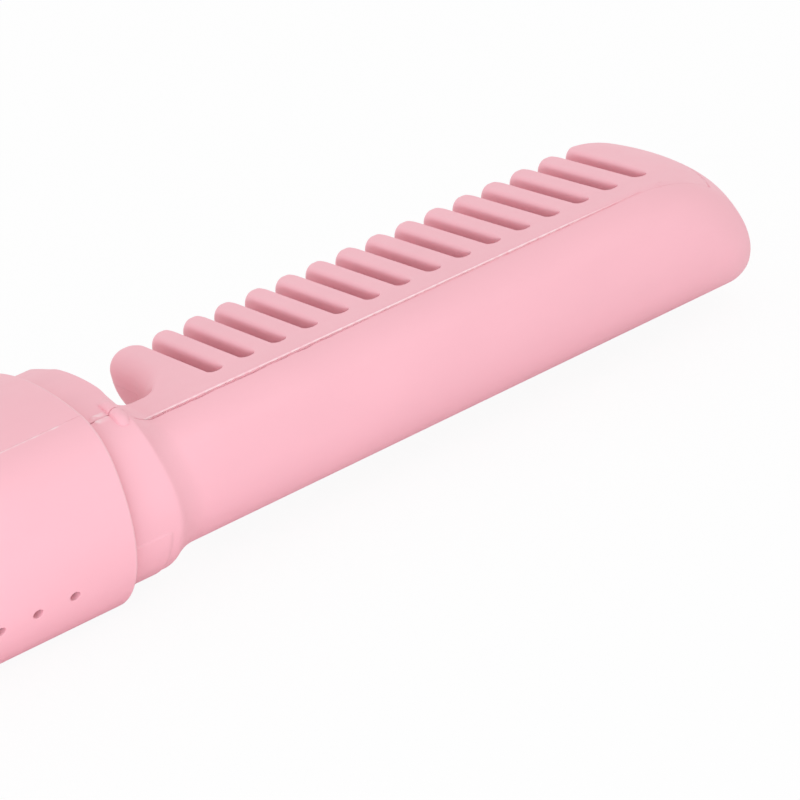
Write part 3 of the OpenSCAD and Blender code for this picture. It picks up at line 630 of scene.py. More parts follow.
    def top_region(self, x: Array, y: Array, z: Array) -> Array:
        """Distance to the space of the top shell."""
        parting = self.parting_y(x)
        far_side = np.where(x < self.collar_x - self.collar_wall, y - parting, -FAR)
        return common(-parting - y, self.joint_z - z, far_side)

    def bead_strength(self, x: Array) -> Array:
        """Strength of the parting bead, which fades towards the tip."""
        return 1.0 - ease(x, *self.bead_fade)

    def slit_strength(self, x: Array) -> Array:
        """Strength of the slit below the bead, which closes before the bead ends."""
        return 1.0 - 0.9 * ease(x, *self.slit_fade)

    def top_shell(self, x: Array, y: Array, z: Array) -> Array:
        """Distance to the top shell, with the bead along its parting line."""
        solid = np.maximum(self.outside(x, y, z), -self.hollow(x, y, z))
        part = np.maximum(solid, self.top_region(x, y, z))
        strength = self.bead_strength(x)
        radius = self.bead_radius * (0.25 + 0.75 * strength) * (1.0 + 0.10 * self.waver.at(x))
        radius = radius * (0.75 + 0.25 * self.slit_strength(x))
        height = self.flat_height + self.bead_rise - 0.12 * (1.0 - strength)
        bead = np.hypot(y + self.parting - self.bead_in, z - height) - radius
        bead = common(bead, self.collar_x + self.bead_start - x, x - STATIONS.tip_x + self.bead_end)
        return round_min(part, bead, 0.05)

    def back_shell(self, x: Array, y: Array, z: Array) -> Array:
        """Distance to the back shell, with a slit and a ragged edge along its parting line."""
        solid = np.maximum(self.outside(x, y, z), -self.hollow(x, y, z))
        parting = self.parting_y(x)
        strength = self.slit_strength(x)
        ragged = 0.03 + strength * (0.05 + 0.04 * self.ragged.at(x))
        ragged = np.maximum(ragged, 0.015) * np.where(x > self.collar_x, 1.0, 0.4)
        slit = self.slit * strength * np.maximum(1.0 + 0.7 * self.waver.at(x), 0.0)
        near_line = 1.0 - ease(np.abs(y + parting), *self.line_reach)
        far_joint = (1.0 - ease(x, self.collar_x - 1.2, self.collar_x)) * ease(y, 1.0, 3.0)
        seam = mix(self.plain_edge, ragged, near_line) + 0.05 * far_joint
        slit = slit * near_line + self.far_slit * far_joint
        part = round_max(solid, slit - self.top_region(x, y, z), seam)
        return round_max(part, -self.screw_wells(x, y, z), self.well_edge)

    def grid(self) -> SurfaceGrid:
        """Grid of the head: lines lie closer at slot edges, tooth ends, parting line and collar."""
        front, tip = STATIONS.front_x, STATIONS.tip_x
        along = [
            Span(front + 0.9, self.collar_x - 0.6, 0.14),
            Span(front - 0.3, self.collar_x + 4.0, 0.25),
            Span(front + self.gap_end - 0.5, self.slot_x, 0.35),
        ]
        for i in range(self.slot_count):
            start = self.slot_x + i * self.slot_pitch
            along.append(Span(start - 0.45, start + 0.15, 0.1))
            along.append(Span(start + self.slot_width - 0.15, start + self.slot_width + 1.05, 0.24))
        for place in self.screw_places:
            along.append(Span(place[0] - 2.6, place[0] + 2.6, 0.3))
        along.append(Span(tip - self.bead_end, tip - 4.0, 0.4))
        along.append(Span(tip - 4.0, tip + 0.1, 0.25))
        across = [
            Span(-self.collar_parting - 0.2, -self.parting - 0.45, 0.1),
            Span(-self.parting - 0.45, -self.parting + 0.45, 0.05),
            Span(-self.parting - 3.3, -self.parting + 1.8, 0.2),
            Span(-self.slot_root - 0.6, -self.slot_root + 1.4, 0.16),
            Span(-3.2, 2.7, 0.4),
            Span(self.end_start, self.side_reach, 0.3),
            Span(self.collar_parting - 0.35, self.collar_parting + 0.25, 0.1),
        ]
        up = [
            Span(self.flat_height - 0.4, self.flat_height + 0.35, 0.07),
            Span(self.joint_z, self.flat_height, 0.3),
            Span(self.flat_height, 9.8, 0.2),
            Span(9.8, 12.0, 0.3),
            Span(-8.2, -7.0, 0.13),
            Span(-12.0, -7.0, 0.35),
        ]
        return SurfaceGrid(
            grid_lines(front - self.spigot_length - 1.0, tip + 0.5, 0.55, along),
            grid_lines(-18.5, 18.2, 0.8, across),
            grid_lines(-18.2, 12.0, 0.6, up),
        )

    def build(self, finish: "Finish") -> None:
        """Meshes the top shell and the back shell in their finish."""
        grid = self.grid()
        for part, form in (("comb_top", self.top_shell), ("comb_back", self.back_shell)):
            mould(part + "_moulding", part + "_shell", grid, form, self.whitening_and_painted_highlight, finish)


@dataclass
class Handle:
    """Handle of two shells and a tail cap, with holes for keys, window, vents, port and screws."""

    wall: float = 1.6
    tail_wall: float = 2.4
    cap_wall: float = 6.6
    cap_gap: float = 0.1
    hole_depth: float = 6.0
    port_gap: float = 0.15
    screw_well: float = 2.2
    front_edge: float = 0.4
    tail_edge: float = 7.0
    foot_edge: float = 0.5
    cap_lip: float = 4.0
    vent_count: int = 6
    vent_diameter: float = 1.45
    vent_start: float = 9.3
    vent_pitch: float = 5.4
    vent_angle: float = 29.5
    vent_depth: float = 10.0
    key_gap: float = 0.3
    window_gap: float = 0.06
    hole_edge: float = 0.25
    seam: float = 0.05
    fleck_drop: float = 0.14
    fleck_reach: float = 0.17
    fleck_start: tuple[float, float] = (1.8, 3.0)
    # Strength of the painted highlight along the front rim.
    rim_highlight: float = 0.25
    ragged: Noise = field(default_factory=lambda: Noise(23, 0.9))

    def outside(self, x: Array, y: Array, z: Array) -> Array:
        """Distance to the handle as if it were solid."""
        solid = round_max(SECTION.distance(y, z), x - STATIONS.front_x, self.front_edge)
        solid = round_max(solid, STATIONS.tail_x - x, self.tail_edge)
        return round_max(solid, -STATIONS.axis_z - z, self.foot_edge)

    def hollow(self, x: Array, y: Array, z: Array) -> Array:
        """Distance to the hollow of the handle, open at the front."""
        inner = np.maximum(SECTION.distance(y, z, self.wall), self.wall - STATIONS.axis_z - z)
        return np.maximum(inner, STATIONS.tail_x + self.tail_wall - x)

    def vents(self, x: Array, y: Array, z: Array) -> Array:
        """Distance to the row of vent holes, square to the round wall."""
        angle = math.radians(self.vent_angle)
        number = np.round((STATIONS.front_x - self.vent_start - x) / self.vent_pitch)
        number = np.clip(number, 0, self.vent_count - 1)
        along = x - STATIONS.front_x + self.vent_start + number * self.vent_pitch
        across = y * math.sin(angle) - z * math.cos(angle)
        out = -y * math.cos(angle) - z * math.sin(angle)
        return np.maximum(np.hypot(along, across) - self.vent_diameter / 2, self.vent_depth - out)

    def cover_region(self, x: Array, y: Array, z: Array) -> Array:
        """Distance to the space of the cover."""
        return common(np.abs(y) - SECTION.parting(), -z, STATIONS.body_x - x)

    def openings(self, x: Array, y: Array, z: Array) -> Array:
        """Distance to the holes of the cover: the keys' and the window's."""
        holes = WINDOW.plan(x, y) - self.window_gap
        for key in KEYS:
            from_key = np.hypot(x - key.centre_x, y) - key.diameter / 2
            holes = np.minimum(holes, from_key - self.key_gap)
        return np.maximum(holes, -z)

    def cover(self, x: Array, y: Array, z: Array) -> Array:
        """Distance to the cover."""
        solid = round_max(self.outside(x, y, z), -self.openings(x, y, z), self.hole_edge)
        solid = np.maximum(solid, -self.hollow(x, y, z))
        return round_max(solid, self.cover_region(x, y, z) + 0.01, self.seam_edge(x))

    def whitening_and_painted_highlight(self, x: Array, y: Array, z: Array) -> Array:
        """Share of the pale colour: stress-whitened flecks below the near seam, and a painted
        highlight along the front rim.
        """
        below = -SECTION.parting() - y
        line = np.exp(-(((below - self.fleck_drop) / self.fleck_reach) ** 2)) * (z > 0.0)
        flecks = np.clip(0.4 + 0.6 * self.ragged.at(x), 0.0, 1.0)
        flecks = flecks * ease(STATIONS.front_x - x, *self.fleck_start)
        # The front rim's pale line is a painted highlight, not whitened plastic.
        rim = self.rim_highlight * ease(x, STATIONS.front_x - 0.5, STATIONS.front_x - 0.15)
        return np.maximum(line * flecks, rim)

    def seam_edge(self, x: Array) -> Array:
        """Radius of the shells' edges along their parting line, a little uneven."""
        return np.maximum(self.seam + 0.03 * self.ragged.at(x), 0.02)

    def body(self, x: Array, y: Array, z: Array) -> Array:
        """Distance to the body."""
        solid = round_max(self.outside(x, y, z), -self.vents(x, y, z), 0.1)
        solid = common(solid, -self.hollow(x, y, z), STATIONS.body_x + 0.01 - x)
        return round_max(solid, -self.cover_region(x, y, z) + 0.01, self.seam_edge(x))

    def tail_holes(self, x: Array, y: Array, z: Array) -> Array:
        """Distance to the port and the counterbored screw holes of the tail cap."""
        port_low, port_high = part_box("usb_socket")
        port_z = (port_low.z + port_high.z) / 2 / MM - STATIONS.axis_z
        half_w = (port_high.y - port_low.y) / 2 / MM
        half_h = (port_high.z - port_low.z) / 2 / MM
        flat = np.maximum(np.abs(y) - half_w + half_h, 0.0)
        holes = np.hypot(flat, z - port_z) - half_h - self.port_gap
        for head in screw_heads("tail_screws"):
            holes = np.minimum(holes, np.hypot(y, z - head[2]) - self.screw_well)
        return holes

    def tail(self, x: Array, y: Array, z: Array) -> Array:
        """Distance to the tail cap."""
        holes = np.maximum(self.tail_holes(x, y, z), x - STATIONS.tail_x - self.hole_depth)
        solid = round_max(self.outside(x, y, z), -holes, 0.2)
        solid = np.maximum(solid, x - STATIONS.body_x)
        inset = self.wall + self.cap_gap
        lip = np.maximum(SECTION.distance(y, z, inset), x - STATIONS.body_x - self.cap_lip)
        lip = np.maximum(lip, inset - STATIONS.axis_z - z)
        solid = np.minimum(solid, np.maximum(lip, STATIONS.body_x - 1.0 - x))
        low = 2 * self.wall - STATIONS.axis_z - z
        inner = np.maximum(SECTION.distance(y, z, 2 * self.wall), low)
        inner = np.maximum(inner, STATIONS.tail_x + self.cap_wall - x)
        return np.maximum(solid, -inner)

    def build(self, finish: "Finish") -> None:
        """Meshes the cover, the body and the tail cap in their finish."""
        front, tail, joint = STATIONS.front_x, STATIONS.tail_x, STATIONS.body_x
        part = SECTION.parting()
        edge = [Span(front - 1.0, front + 0.2, 0.12), Span(joint - 0.4, joint + 0.4, 0.1)]
        reach = [key.diameter / 2 for key in KEYS]
        places = [key.centre_x for key in KEYS]
        key_spans = [Span(x - r - 0.8, x + r + 0.8, 0.35) for x, r in zip(places, reach)]
        window_low, window_high = box_mm("display_lens")
        window_span = Span(window_low[0], window_high[0], 0.4)
        seams = [Span(side * part - 0.4, side * part + 0.4, 0.08) for side in (-1, 1)]
        cover_grid = SurfaceGrid(
            grid_lines(joint - 0.5, front + 0.5, 0.9, [*edge, *key_spans, window_span]),
            grid_lines(-part - 0.7, part + 0.7, 0.4, seams),
            grid_lines(5.0, SECTION.crown_height + 0.4, 0.3),
        )
        vents = [front - self.vent_start - i * self.vent_pitch for i in range(self.vent_count)]
        vent_spans = [Span(x - 1.1, x + 1.1, 0.13) for x in vents]
        seen_span = Span(front - 32.0, front, 0.45)
        vent_height, seam_height = Span(-10.8, -7.2, 0.16), Span(8.0, 11.6, 0.25)
        body_grid = SurfaceGrid(
            grid_lines(joint - 0.5, front + 0.5, 1.2, [*edge, *vent_spans, seen_span]),
            grid_lines(-19.8, 19.8, 0.6, [*seams, Span(-18.0, -14.0, 0.16)]),
            grid_lines(-19.0, SECTION.crown_height, 0.6, [vent_height, seam_height]),
        )
        joint_span = Span(joint - 0.3, joint + 0.3, 0.1)
        tail_grid = SurfaceGrid(
            grid_lines(tail - 0.5, joint + self.cap_lip + 0.5, 0.4, [joint_span]),
            grid_lines(-19.8, 19.8, 0.4),
            grid_lines(-19.0, SECTION.crown_height + 0.4, 0.4),
        )
        for node, grid, form in (
            ("handle_cover", cover_grid, self.cover),
            ("handle_body", body_grid, self.body),
            ("tail_cap", tail_grid, self.tail),
        ):
            mould(node + "_moulding", node, grid, form, self.whitening_and_painted_highlight, finish)


class Mark(Enum):
    """Plain raised mark on a key."""

    RING = "ring"
    PLUS = "plus"
    MINUS = "minus"


@dataclass(frozen=True)
class Key:
    """Round key with a dished top and a plain raised mark."""

    node: str
    body: str
    mark: Mark
    flange: float = 1.2
    flange_height: float = 1.0
    edge: float = 0.6
    dish: float = 0.35
    mark_height: float = 0.22
    mark_share: float = 0.17
    mark_thick: float = 0.32
    ring_notch: float = 0.8
    bar_share: float = 0.62

    @property
    def box(self) -> tuple[Array, Array]:
        """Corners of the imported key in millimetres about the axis."""
        low, high = box_mm(self.node)
        lift = np.array([0.0, 0.0, STATIONS.axis_z])
        return low - lift, high - lift

    @property
    def centre_x(self) -> float:
        """Place of the key along the handle."""
        low, high = self.box
        return float(low[0] + high[0]) / 2

    @property
    def diameter(self) -> float:
        """Diameter of the key where it passes the cover."""
        low, high = self.box
        return float(high[1] - low[1]) - 2 * self.flange

    def mark_distance(self, x: Array, y: Array) -> Array:
        """Distance in plan to the mark, about the key's centre."""
        arm, thick = self.diameter * self.mark_share, self.mark_thick
        flat = np.maximum(np.abs(x) - thick, np.abs(y) - arm)
        upright = np.maximum(np.abs(y) - thick, np.abs(x) - arm)
        if self.mark is Mark.MINUS:
            return flat
        if self.mark is Mark.PLUS:
            return np.minimum(flat, upright)
        ring = np.abs(np.hypot(x, y) - arm) - thick
        notch = np.maximum(np.abs(y) - self.ring_notch, -x)
        bar = np.maximum(np.abs(y) - thick, np.abs(x - arm) - arm * self.bar_share)
        return np.minimum(np.maximum(ring, -notch), bar)

    def distance(self, x: Array, y: Array, z: Array) -> Array:
        """Distance to the key."""
        low, high = self.box
        from_x = x - self.centre_x
        out = np.hypot(from_x, y)
        radius = self.diameter / 2
        stem = round_max(out - radius, z - high[2], self.edge)
        dish_radius = (radius - self.edge) ** 2 / (2 * self.dish) + self.dish / 2
        dish = np.sqrt(out**2 + (z - high[2] - dish_radius + self.dish) ** 2) - dish_radius
        stem = round_max(stem, -dish, 0.3)
        above_mark = z - high[2] + self.dish - self.mark_height
        mark = round_max(self.mark_distance(from_x, y), above_mark, 0.1)
        mark = np.maximum(mark, high[2] - 2.0 - z)
        flange = np.maximum(out - radius - self.flange, z - low[2] - self.flange_height)
        return np.maximum(np.minimum.reduce([stem, mark, flange]), low[2] - z)

    def build(self, finish: "Finish") -> None:
        """Meshes the key in its finish, riding on the key's body."""
        low, high = self.box
        reach = self.diameter / 2 + self.flange + 0.3
        arm = self.diameter * self.mark_share + 0.5
        lines = grid_lines(-reach, reach, 0.25, [Span(-arm, arm, 0.09)])
        top = Span(high[2] - 0.9, high[2] + 0.2, 0.07)
        up = grid_lines(low[2] - 0.3, high[2] + 0.3, 0.4, [top])
        grid = SurfaceGrid(lines + self.centre_x, lines, up)
        piece = make_object(self.node.replace("_key", "_button_cap"), *grid.mesh(self.distance))
        fit(piece, self.body, finish, self.node)


KEYS = (
    Key("power_key", "power_button", Mark.RING),
    Key("heat_up_key", "heat_up_button", Mark.PLUS),
    Key("heat_down_key", "heat_down_button", Mark.MINUS),
)


@dataclass
class DisplayWindow:
    """Smoked window that follows the crown, with a softened rim and a step behind the cover."""

    thickness: float = 1.6
    drop: float = 0.05
    rim: float = 0.18
    corner: float = 2.0
    step: float = 1.0
    step_thickness: float = 0.7
    cut_z: float = 5.0

    def plan(self, x: Array, y: Array) -> Array:
        """Distance in plan to the window, without its step."""
        low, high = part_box("display_lens")
        centre = (low + high) / 2 / MM
        half_x = (high.x - low.x) / 2 / MM - self.step
        half_y = (high.y - low.y) / 2 / MM - self.step
        over_x = np.abs(x - centre.x) - half_x + self.corner
        over_y = np.abs(y - centre.y) - half_y + self.corner
        outer = np.hypot(np.maximum(over_x, 0.0), np.maximum(over_y, 0.0))
        return outer + np.minimum(np.maximum(over_x, over_y), 0.0) - self.corner

    def distance(self, x: Array, y: Array, z: Array) -> Array:
        """Distance to the window."""
        plan = self.plan(x, y)
        pane = round_max(plan, SECTION.distance(y, z, self.drop), self.rim)
        pane = np.maximum(pane, -SECTION.distance(y, z, self.thickness + self.step_thickness / 2))
        inner = SECTION.distance(y, z, self.thickness)
        behind = SECTION.distance(y, z, self.thickness + self.step_thickness)
        step = common(plan - self.step, inner, -behind)
        return np.maximum(np.minimum(pane, step), self.cut_z - z)

    def build(self, finish: "Finish") -> None:
        """Meshes the window in its finish."""
        low, high = box_mm("display_lens")
        grid = SurfaceGrid(
            grid_lines(low[0] - 0.3, high[0] + 0.3, 0.25),
            grid_lines(low[1] - 0.3, high[1] + 0.3, 0.25),
            grid_lines(9.0, SECTION.crown_height + 0.3, 0.1),
        )
        piece = make_object("display_window", *grid.mesh(self.distance))
        fit(piece, HOUSING, finish, "display_lens")


WINDOW = DisplayWindow()


def screw_heads(node: str) -> list[Array]:
    """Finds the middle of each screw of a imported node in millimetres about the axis."""
    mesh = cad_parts[node].data
    points = np.array([v.co for v in mesh.vertices]) / MM
    points[:, 2] -= STATIONS.axis_z
    group = np.arange(len(points))
    edges = np.array([e.vertices for e in mesh.edges])
    rounded = {}
    for i, key in enumerate(map(tuple, np.round(points, 3))):
        group[i] = rounded.setdefault(key, i)
    for _ in range(len(edges)):
        low = np.minimum(group[edges[:, 0]], group[edges[:, 1]])
        before = group.copy()
        np.minimum.at(group, edges[:, 0], low)
        np.minimum.at(group, edges[:, 1], low)
        group = group[group]
        if (group == before).all():
            break
    return [(points[group == g].min(0) + points[group == g].max(0)) / 2 for g in np.unique(group)]


@dataclass(frozen=True)
class Finish:
    """Base of the finishes: a named node material."""

    name: str

    def material(self) -> bpy.types.Material:
        """Makes the material, or returns it if it is made already."""
        found = bpy.data.materials.get(self.name)
        if found:
            return found
        made = bpy.data.materials.new(self.name)
        made.use_nodes = True
        tree = made.node_tree
        tree.nodes.clear()
        shader = add(tree, "BsdfPrincipled")
        output = add(tree, "OutputMaterial")
        tree.links.new(shader.outputs["BSDF"], output.inputs["Surface"])
        self.dress(tree, shader)
        return made

    def put_on(self, piece: Object) -> None:
        """Makes this the only material of a piece."""
        piece.data.materials.clear()
        piece.data.materials.append(self.material())

    def dress(self, tree: Tree, shader: Node) -> None:
        """Sets up the shader. Each finish has its own."""
        raise NotImplementedError


def put(node: Node, **settings: object) -> Node:
    """Sets a node's properties, or its inputs where it has no such property."""
    for key, value in settings.items():
        if hasattr(node, key):
            setattr(node, key, value)
        else:
            node.inputs[key.replace("_", " ").title()].default_value = value
    return node


def add(tree: Tree, kind: str, **settings: object) -> Node:
    """Adds a node of that kind, named without its ShaderNode prefix, and sets it up."""
    return put(tree.nodes.new("ShaderNode" + kind), **settings)


def noise(tree: Tree, scale: float, detail: float = 2.0, stretch: Triple = (1, 1, 1)) -> Socket:
    """Adds noise in the frame's own metres and returns its value socket."""
    place = add(tree, "TexCoord")
    mapping = add(tree, "Mapping")
    mapping.inputs["Scale"].default_value = stretch
    texture = add(tree, "TexNoise", scale=scale, detail=detail)
    tree.links.new(place.outputs["Object"], mapping.inputs["Vector"])
    tree.links.new(mapping.outputs["Vector"], texture.inputs["Vector"])
    return texture.outputs["Fac"]


def spread(tree: Tree, value: Socket, low: float, high: float) -> Socket:
    """Maps noise to a range of numbers."""
    node = add(tree, "MapRange", from_min=NOISE_LOW, from_max=NOISE_HIGH, to_min=low, to_max=high)
    tree.links.new(value, node.inputs["Value"])
    return node.outputs["Result"]


def tint(tree: Tree, value: Socket, dark: Colour, light: Colour) -> Socket:
    """Maps noise to a mix of two colours."""
    ramp = add(tree, "ValToRGB")
    stops = ramp.color_ramp.elements
    for stop, place, colour in ((stops[0], NOISE_LOW, dark), (stops[1], NOISE_HIGH, light)):
        stop.position = place
        stop.color = (*colour, 1.0)
    tree.links.new(value, ramp.inputs["Fac"])
    return ramp.outputs["Color"]


def surface(
    tree: Tree, shader: Node, colour: Socket, gloss: Socket, height: Socket, depth: float
) -> None:
    """Gives the shader its colour, its roughness and a bump of that depth in metres."""
    rise = add(tree, "Bump", strength=1.0, distance=depth)
    tree.links.new(height, rise.inputs["Height"])
    tree.links.new(rise.outputs["Normal"], shader.inputs["Normal"])
    tree.links.new(colour, shader.inputs["Base Color"])
    tree.links.new(gloss, shader.inputs["Roughness"])


@dataclass(frozen=True)
class SatinPlastic(Finish):
    """Moulded plastic with a fine spark-eroded grain, faint flow mottling and uneven gloss."""

    colour: Colour
    roughness: float = 0.5
    uneven: float = 0.04
    grain: float = 5500.0
    depth: float = 0.000006
    mottle: float = 0.02
    ior: float = 1.46
    # Pale colour of stress-whitened plastic, also used for the painted highlights.
    whitening_and_highlight_colour: Colour = (0.98, 0.78, 0.80)

    def dress(self, tree: Tree, shader: Node) -> None:
        """Sets colour, stress-whitening with painted highlights, gloss and grain."""
        dark = tuple(c * (1.0 - self.mottle) for c in self.colour)
        light = tuple(min(c * (1.0 + self.mottle), 1.0) for c in self.colour)
        flow = noise(tree, 90.0, 3.0, (0.5, 1.0, 1.0))
        # Mixes in the pale colour: stress-whitening, and painted highlights on the comb's bead and
        # the handle's front rim.
        whitening_and_highlight_share = add(tree, "Attribute", attribute_name=WHITENING_AND_HIGHLIGHT)
        white = add(tree, "Mix", data_type="RGBA")
        tree.links.new(whitening_and_highlight_share.outputs["Fac"], white.inputs["Factor"])
        tree.links.new(tint(tree, flow, dark, light), white.inputs[6])
        white.inputs[7].default_value = (*self.whitening_and_highlight_colour, 1.0)
        cloud = noise(tree, 400.0)
        gloss = spread(tree, cloud, self.roughness - self.uneven, self.roughness + self.uneven)
        surface(tree, shader, white.outputs[2], gloss, noise(tree, self.grain, 3.0), self.depth)
        shader.inputs["IOR"].default_value = self.ior


@dataclass(frozen=True)
class GlossPlastic(Finish):
    """Polished plastic with faint waviness and hairline scuffs in its gloss."""

    colour: Colour
    roughness: float = 0.08
    depth: float = 0.00001

    def dress(self, tree: Tree, shader: Node) -> None:
        """Sets colour, gloss and waviness."""
        light = tuple(min(c * 1.25 + 0.004, 1.0) for c in self.colour)
        colour = tint(tree, noise(tree, 160.0), self.colour, light)
        scuffs = noise(tree, 900.0, 4.0, (1.0, 6.0, 1.0))
        gloss = spread(tree, scuffs, self.roughness * 0.7, self.roughness * 1.5)
        surface(tree, shader, colour, gloss, noise(tree, 140.0), self.depth)
        put(shader, coat_weight=0.4, coat_roughness=0.05)


@dataclass(frozen=True)
class Metal(Finish):
    """Bare metal with drawn lines along one direction."""

    colour: Colour
    roughness: float = 0.32
    lines: Triple = (0.05, 1.0, 1.0)
    grain: float = 3000.0
    depth: float = 0.000004

    def dress(self, tree: Tree, shader: Node) -> None:
        """Sets colour, drawn lines and gloss."""
        dark = tuple(c * 0.86 for c in self.colour)
        drawn = noise(tree, self.grain, 2.0, self.lines)
        gloss = spread(tree, drawn, self.roughness - 0.08, self.roughness + 0.1)
        surface(tree, shader, tint(tree, drawn, dark, self.colour), gloss, drawn, self.depth)
        put(shader, metallic=1.0)


@dataclass(frozen=True)
class Speckled(Finish):
    """Fired, pressed, foamed or soft material with a speckled grain."""

    dark: Colour
    light: Colour
    roughness: float = 0.6
    grain: float = 2500.0
    depth: float = 0.00002

    def dress(self, tree: Tree, shader: Node) -> None:
        """Sets colour, grain and gloss."""
        specks = noise(tree, self.grain, 4.0)
        gloss = spread(tree, specks, self.roughness - 0.08, self.roughness + 0.08)
        surface(tree, shader, tint(tree, specks, self.dark, self.light), gloss, specks, self.depth)


@dataclass(frozen=True)
class CircuitBoard(Finish):
    """Solder mask over copper tracks that show as slightly lighter lines."""

    mask: Colour = (0.012, 0.13, 0.06)
    track: Colour = (0.03, 0.22, 0.10)
    depth: float = 0.00002

    def dress(self, tree: Tree, shader: Node) -> None:
        """Sets the tracks, their rise and the mask's gloss."""
        mask, track = (*self.mask, 1.0), (*self.track, 1.0)
        tracks = add(tree, "TexBrick", scale=260.0, color1=mask, color2=mask, mortar=track)
        put(tracks, mortar_size=0.03)
        place = add(tree, "TexCoord")
        tree.links.new(place.outputs["Object"], tracks.inputs["Vector"])
        gloss = spread(tree, noise(tree, 500.0), 0.22, 0.34)
        surface(tree, shader, tracks.outputs["Color"], gloss, tracks.outputs["Fac"], self.depth)


PINK = SatinPlastic("pink_satin_plastic", (0.942, 0.498, 0.563))
KEY_PINK = SatinPlastic("pink_key_plastic", (0.95, 0.56, 0.62), roughness=0.4)
SMOKED = GlossPlastic("smoked_window", (0.012, 0.011, 0.013))
ALUMINIUM = Metal("drawn_aluminium", (0.78, 0.79, 0.81))
STEEL = Metal("plated_steel", (0.62, 0.62, 0.64), 0.28, (1.0, 1.0, 0.1))
NICKEL = Metal("nickel_strip", (0.70, 0.68, 0.64), 0.24)
CERAMIC = Speckled("fired_ceramic", (0.76, 0.74, 0.68), (0.84, 0.82, 0.77), 0.5)
MICA = Speckled("pressed_mica", (0.42, 0.33, 0.20), (0.62, 0.52, 0.35), 0.35, 1200.0)
WHITE_PLASTIC = SatinPlastic("white_plastic", (0.80, 0.80, 0.78), roughness=0.4)
BLACK_PLASTIC = SatinPlastic("black_plastic", (0.02, 0.02, 0.022), roughness=0.45, mottle=0.15)
CELL_WRAP = GlossPlastic("shrunk_wrap", (0.03, 0.16, 0.42), 0.2)
FOAM = Speckled("cell_foam", (0.015, 0.015, 0.017), (0.07, 0.07, 0.075), 0.9, 4000.0, 0.0001)
BOARD = CircuitBoard("green_board")
WIRE = Speckled("silicone_wire", (0.42, 0.02, 0.02), (0.52, 0.04, 0.035), 0.5, 3000.0, 0.000005)

INNER_FINISHES: dict[str, Finish] = {
    "comb_plate": ALUMINIUM,
    "ceramic_heater": CERAMIC,
    "mica_sheet": MICA,
    "heater_clip": STEEL,
    "thermal_fuse": WHITE_PLASTIC,
    "temperature_sensor": BLACK_PLASTIC,
    "heater_leads": WIRE,
    "comb_screws": STEEL,
    "tail_screws": STEEL,
    "battery_cell": CELL_WRAP,
    "battery_cradle": BLACK_PLASTIC,
    "battery_tabs": NICKEL,
    "battery_foam": FOAM,
    "main_board": BOARD,
    "board_chips": BLACK_PLASTIC,
    "display_module": WHITE_PLASTIC,
    "tact_switches": STEEL,
    "power_plunger": BLACK_PLASTIC,
    "heat_up_plunger": BLACK_PLASTIC,
    "heat_down_plunger": BLACK_PLASTIC,
    "board_screws": STEEL,
    "charge_board": BOARD,
    "usb_socket": NICKEL,
    "battery_leads": WIRE,
    "charge_leads": WIRE,
}


def fit(piece: Object, body: str, finish: Finish, *nodes: str) -> None:
    """Dresses a piece and puts it on its body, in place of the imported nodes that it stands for."""
    finish.put_on(piece)
    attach(piece, body)
    if nodes:
        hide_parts(*nodes)
    log.info("%s: %d faces, rides on %s", piece.name, len(piece.data.polygons), body)


def mould(
    name: str, node: str, grid: SurfaceGrid, form: Distance, whitening_and_painted_highlight: Distance, finish: Finish
) -> None:
    """Meshes one moulded shell of the housing, with its share of stress-whitened plastic and painted
    highlight.
    """
    points, faces = grid.mesh(form)
    piece = make_object(name, points, faces)
    pale = piece.data.attributes.new(WHITENING_AND_HIGHLIGHT, "FLOAT", "POINT")
    pale.data.foreach_set("value", whitening_and_painted_highlight(*points.T))
    fit(piece, HOUSING, finish, node)


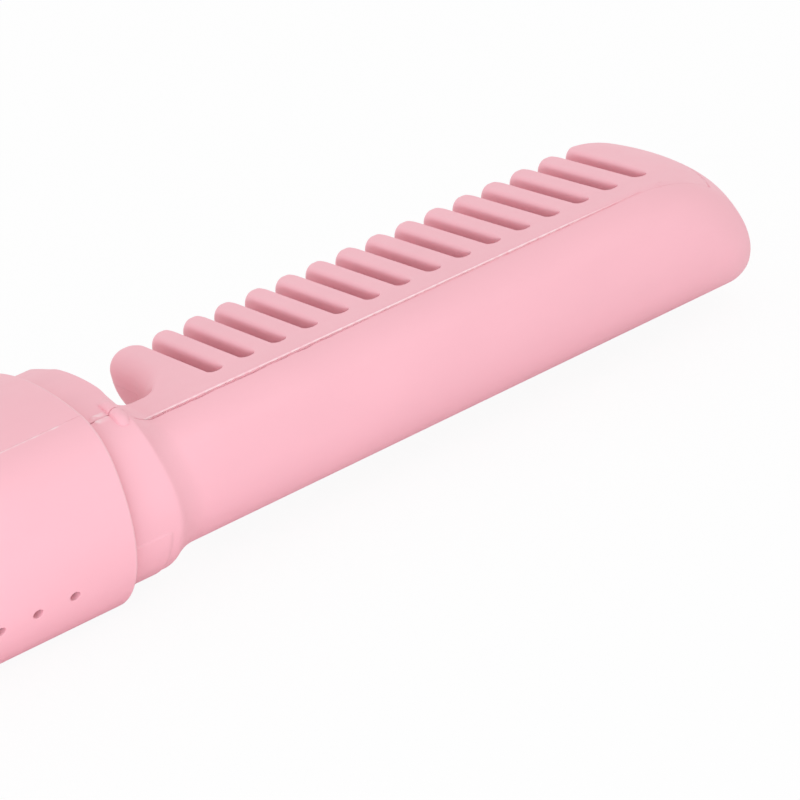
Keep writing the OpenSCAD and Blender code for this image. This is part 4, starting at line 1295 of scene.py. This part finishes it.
@dataclass
class Studio:
    """Plain pale floor, soft light from all round and the photograph's camera."""

    lens: float = 164.475
    eye: Triple = (-0.1670, -0.4066, 0.1937)
    right: Triple = (0.8133, -0.5360, -0.2263)
    down: Triple = (-0.3872, -0.2083, -0.8981)
    ahead: Triple = (0.4343, 0.8181, -0.3770)
    floor_reach: float = 6.0
    floor_colour: Colour = (0.93, 0.93, 0.93)
    floor_lift: float = 0.93
    world_strength: float = 0.90
    lamp_power: float = 0.53
    lamp_size: float = 0.3
    lamp_place: Triple = (-0.27, -0.26, 0.02)
    lamp_aim: Triple = (-0.02, 0.0, 0.02)
    lamp_colour: Colour = (0.95, 0.98, 1.08)

    def camera(self) -> None:
        """Makes the camera at the photograph's viewing angle."""
        data = bpy.data.cameras.new("camera")
        data.lens = self.lens
        data.sensor_width = 36.0
        data.clip_start, data.clip_end = 0.05, 20.0
        made = new_object("camera", data)
        right, down, ahead = Vector(self.right), Vector(self.down), Vector(self.ahead)
        turn = Matrix((right, -down, -ahead)).transposed().to_4x4()
        made.matrix_world = Matrix.Translation(Vector(self.eye)) @ turn
        bpy.context.scene.camera = made

    def floor(self) -> None:
        """Makes the large floor, which the camera sees almost white and with a faint shadow."""
        mesh = bpy.data.meshes.new("floor")
        signs = ((-1, -1), (1, -1), (1, 1), (-1, 1))
        corners = [(x * self.floor_reach, y * self.floor_reach, 0.0) for x, y in signs]
        mesh.from_pydata(corners, [], [(0, 1, 2, 3)])
        made = new_object("floor", mesh)
        material = bpy.data.materials.new("pale_floor")
        material.use_nodes = True
        tree = material.node_tree
        shader = tree.nodes["Principled BSDF"]
        put(shader, base_color=(*self.floor_colour, 1.0), roughness=0.9)
        shader.inputs["Specular IOR Level"].default_value = 0.0
        seen = add(tree, "LightPath")
        lift = add(tree, "Emission", strength=1.0)
        faint = add(tree, "MixShader", fac=self.floor_lift)
        pick = add(tree, "MixShader")
        output = tree.nodes["Material Output"]
        tree.links.new(shader.outputs["BSDF"], faint.inputs[1])
        tree.links.new(lift.outputs["Emission"], faint.inputs[2])
        tree.links.new(seen.outputs["Is Camera Ray"], pick.inputs["Fac"])
        tree.links.new(shader.outputs["BSDF"], pick.inputs[1])
        tree.links.new(faint.outputs["Shader"], pick.inputs[2])
        tree.links.new(pick.outputs["Shader"], output.inputs["Surface"])
        mesh.materials.append(material)
        made.visible_shadow = False

    def world(self) -> None:
        """Lights the object evenly from all round. The camera and reflections see plain white."""
        world = bpy.data.worlds.new("studio")
        world.use_nodes = True
        tree = world.node_tree
        tree.nodes.clear()
        around = add(tree, "Background", strength=self.world_strength)
        plain = add(tree, "Background", strength=1.0)
        for shade in (around, plain):
            shade.inputs["Color"].default_value = (1.0, 1.0, 1.0, 1.0)
        seen = add(tree, "LightPath")
        clear = add(tree, "Math", operation="MAXIMUM")
        either = add(tree, "Math", operation="MAXIMUM")
        pick = add(tree, "MixShader")
        output = add(tree, "OutputWorld")
        tree.links.new(seen.outputs["Is Glossy Ray"], either.inputs[0])
        tree.links.new(seen.outputs["Is Transmission Ray"], either.inputs[1])
        tree.links.new(seen.outputs["Is Camera Ray"], clear.inputs[0])
        tree.links.new(either.outputs["Value"], clear.inputs[1])
        tree.links.new(clear.outputs["Value"], pick.inputs["Fac"])
        tree.links.new(around.outputs["Background"], pick.inputs[1])
        tree.links.new(plain.outputs["Background"], pick.inputs[2])
        tree.links.new(pick.outputs["Shader"], output.inputs["Surface"])
        bpy.context.scene.world = world

    def lamp(self) -> None:
        """Makes the large soft lamp beside the object."""
        data = bpy.data.lights.new("side_light", "AREA")
        data.energy = self.lamp_power
        data.size = self.lamp_size
        data.color = self.lamp_colour
        made = new_object("side_light", data)
        made.location = self.lamp_place
        aim = Vector(self.lamp_aim) - Vector(self.lamp_place)
        made.rotation_euler = aim.to_track_quat("-Z", "Y").to_euler()

    def build(self) -> None:
        """Sets up the camera, the floor and the light."""
        self.camera()
        self.floor()
        self.world()
        self.lamp()
        bpy.context.scene.view_settings.view_transform = "Standard"


def dress_inner() -> None:
    """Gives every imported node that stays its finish."""
    for node, finish in INNER_FINISHES.items():
        finish.put_on(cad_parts[node])


def main() -> None:
    """Builds every piece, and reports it."""
    logging.basicConfig(level=logging.INFO, format="%(message)s")
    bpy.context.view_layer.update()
    Studio().build()
    dress_inner()
    CombHead().build(PINK)
    Handle().build(PINK)
    for key in KEYS:
        key.build(KEY_PINK)
    WINDOW.build(SMOKED)


if __name__ == "__main__":
    main()
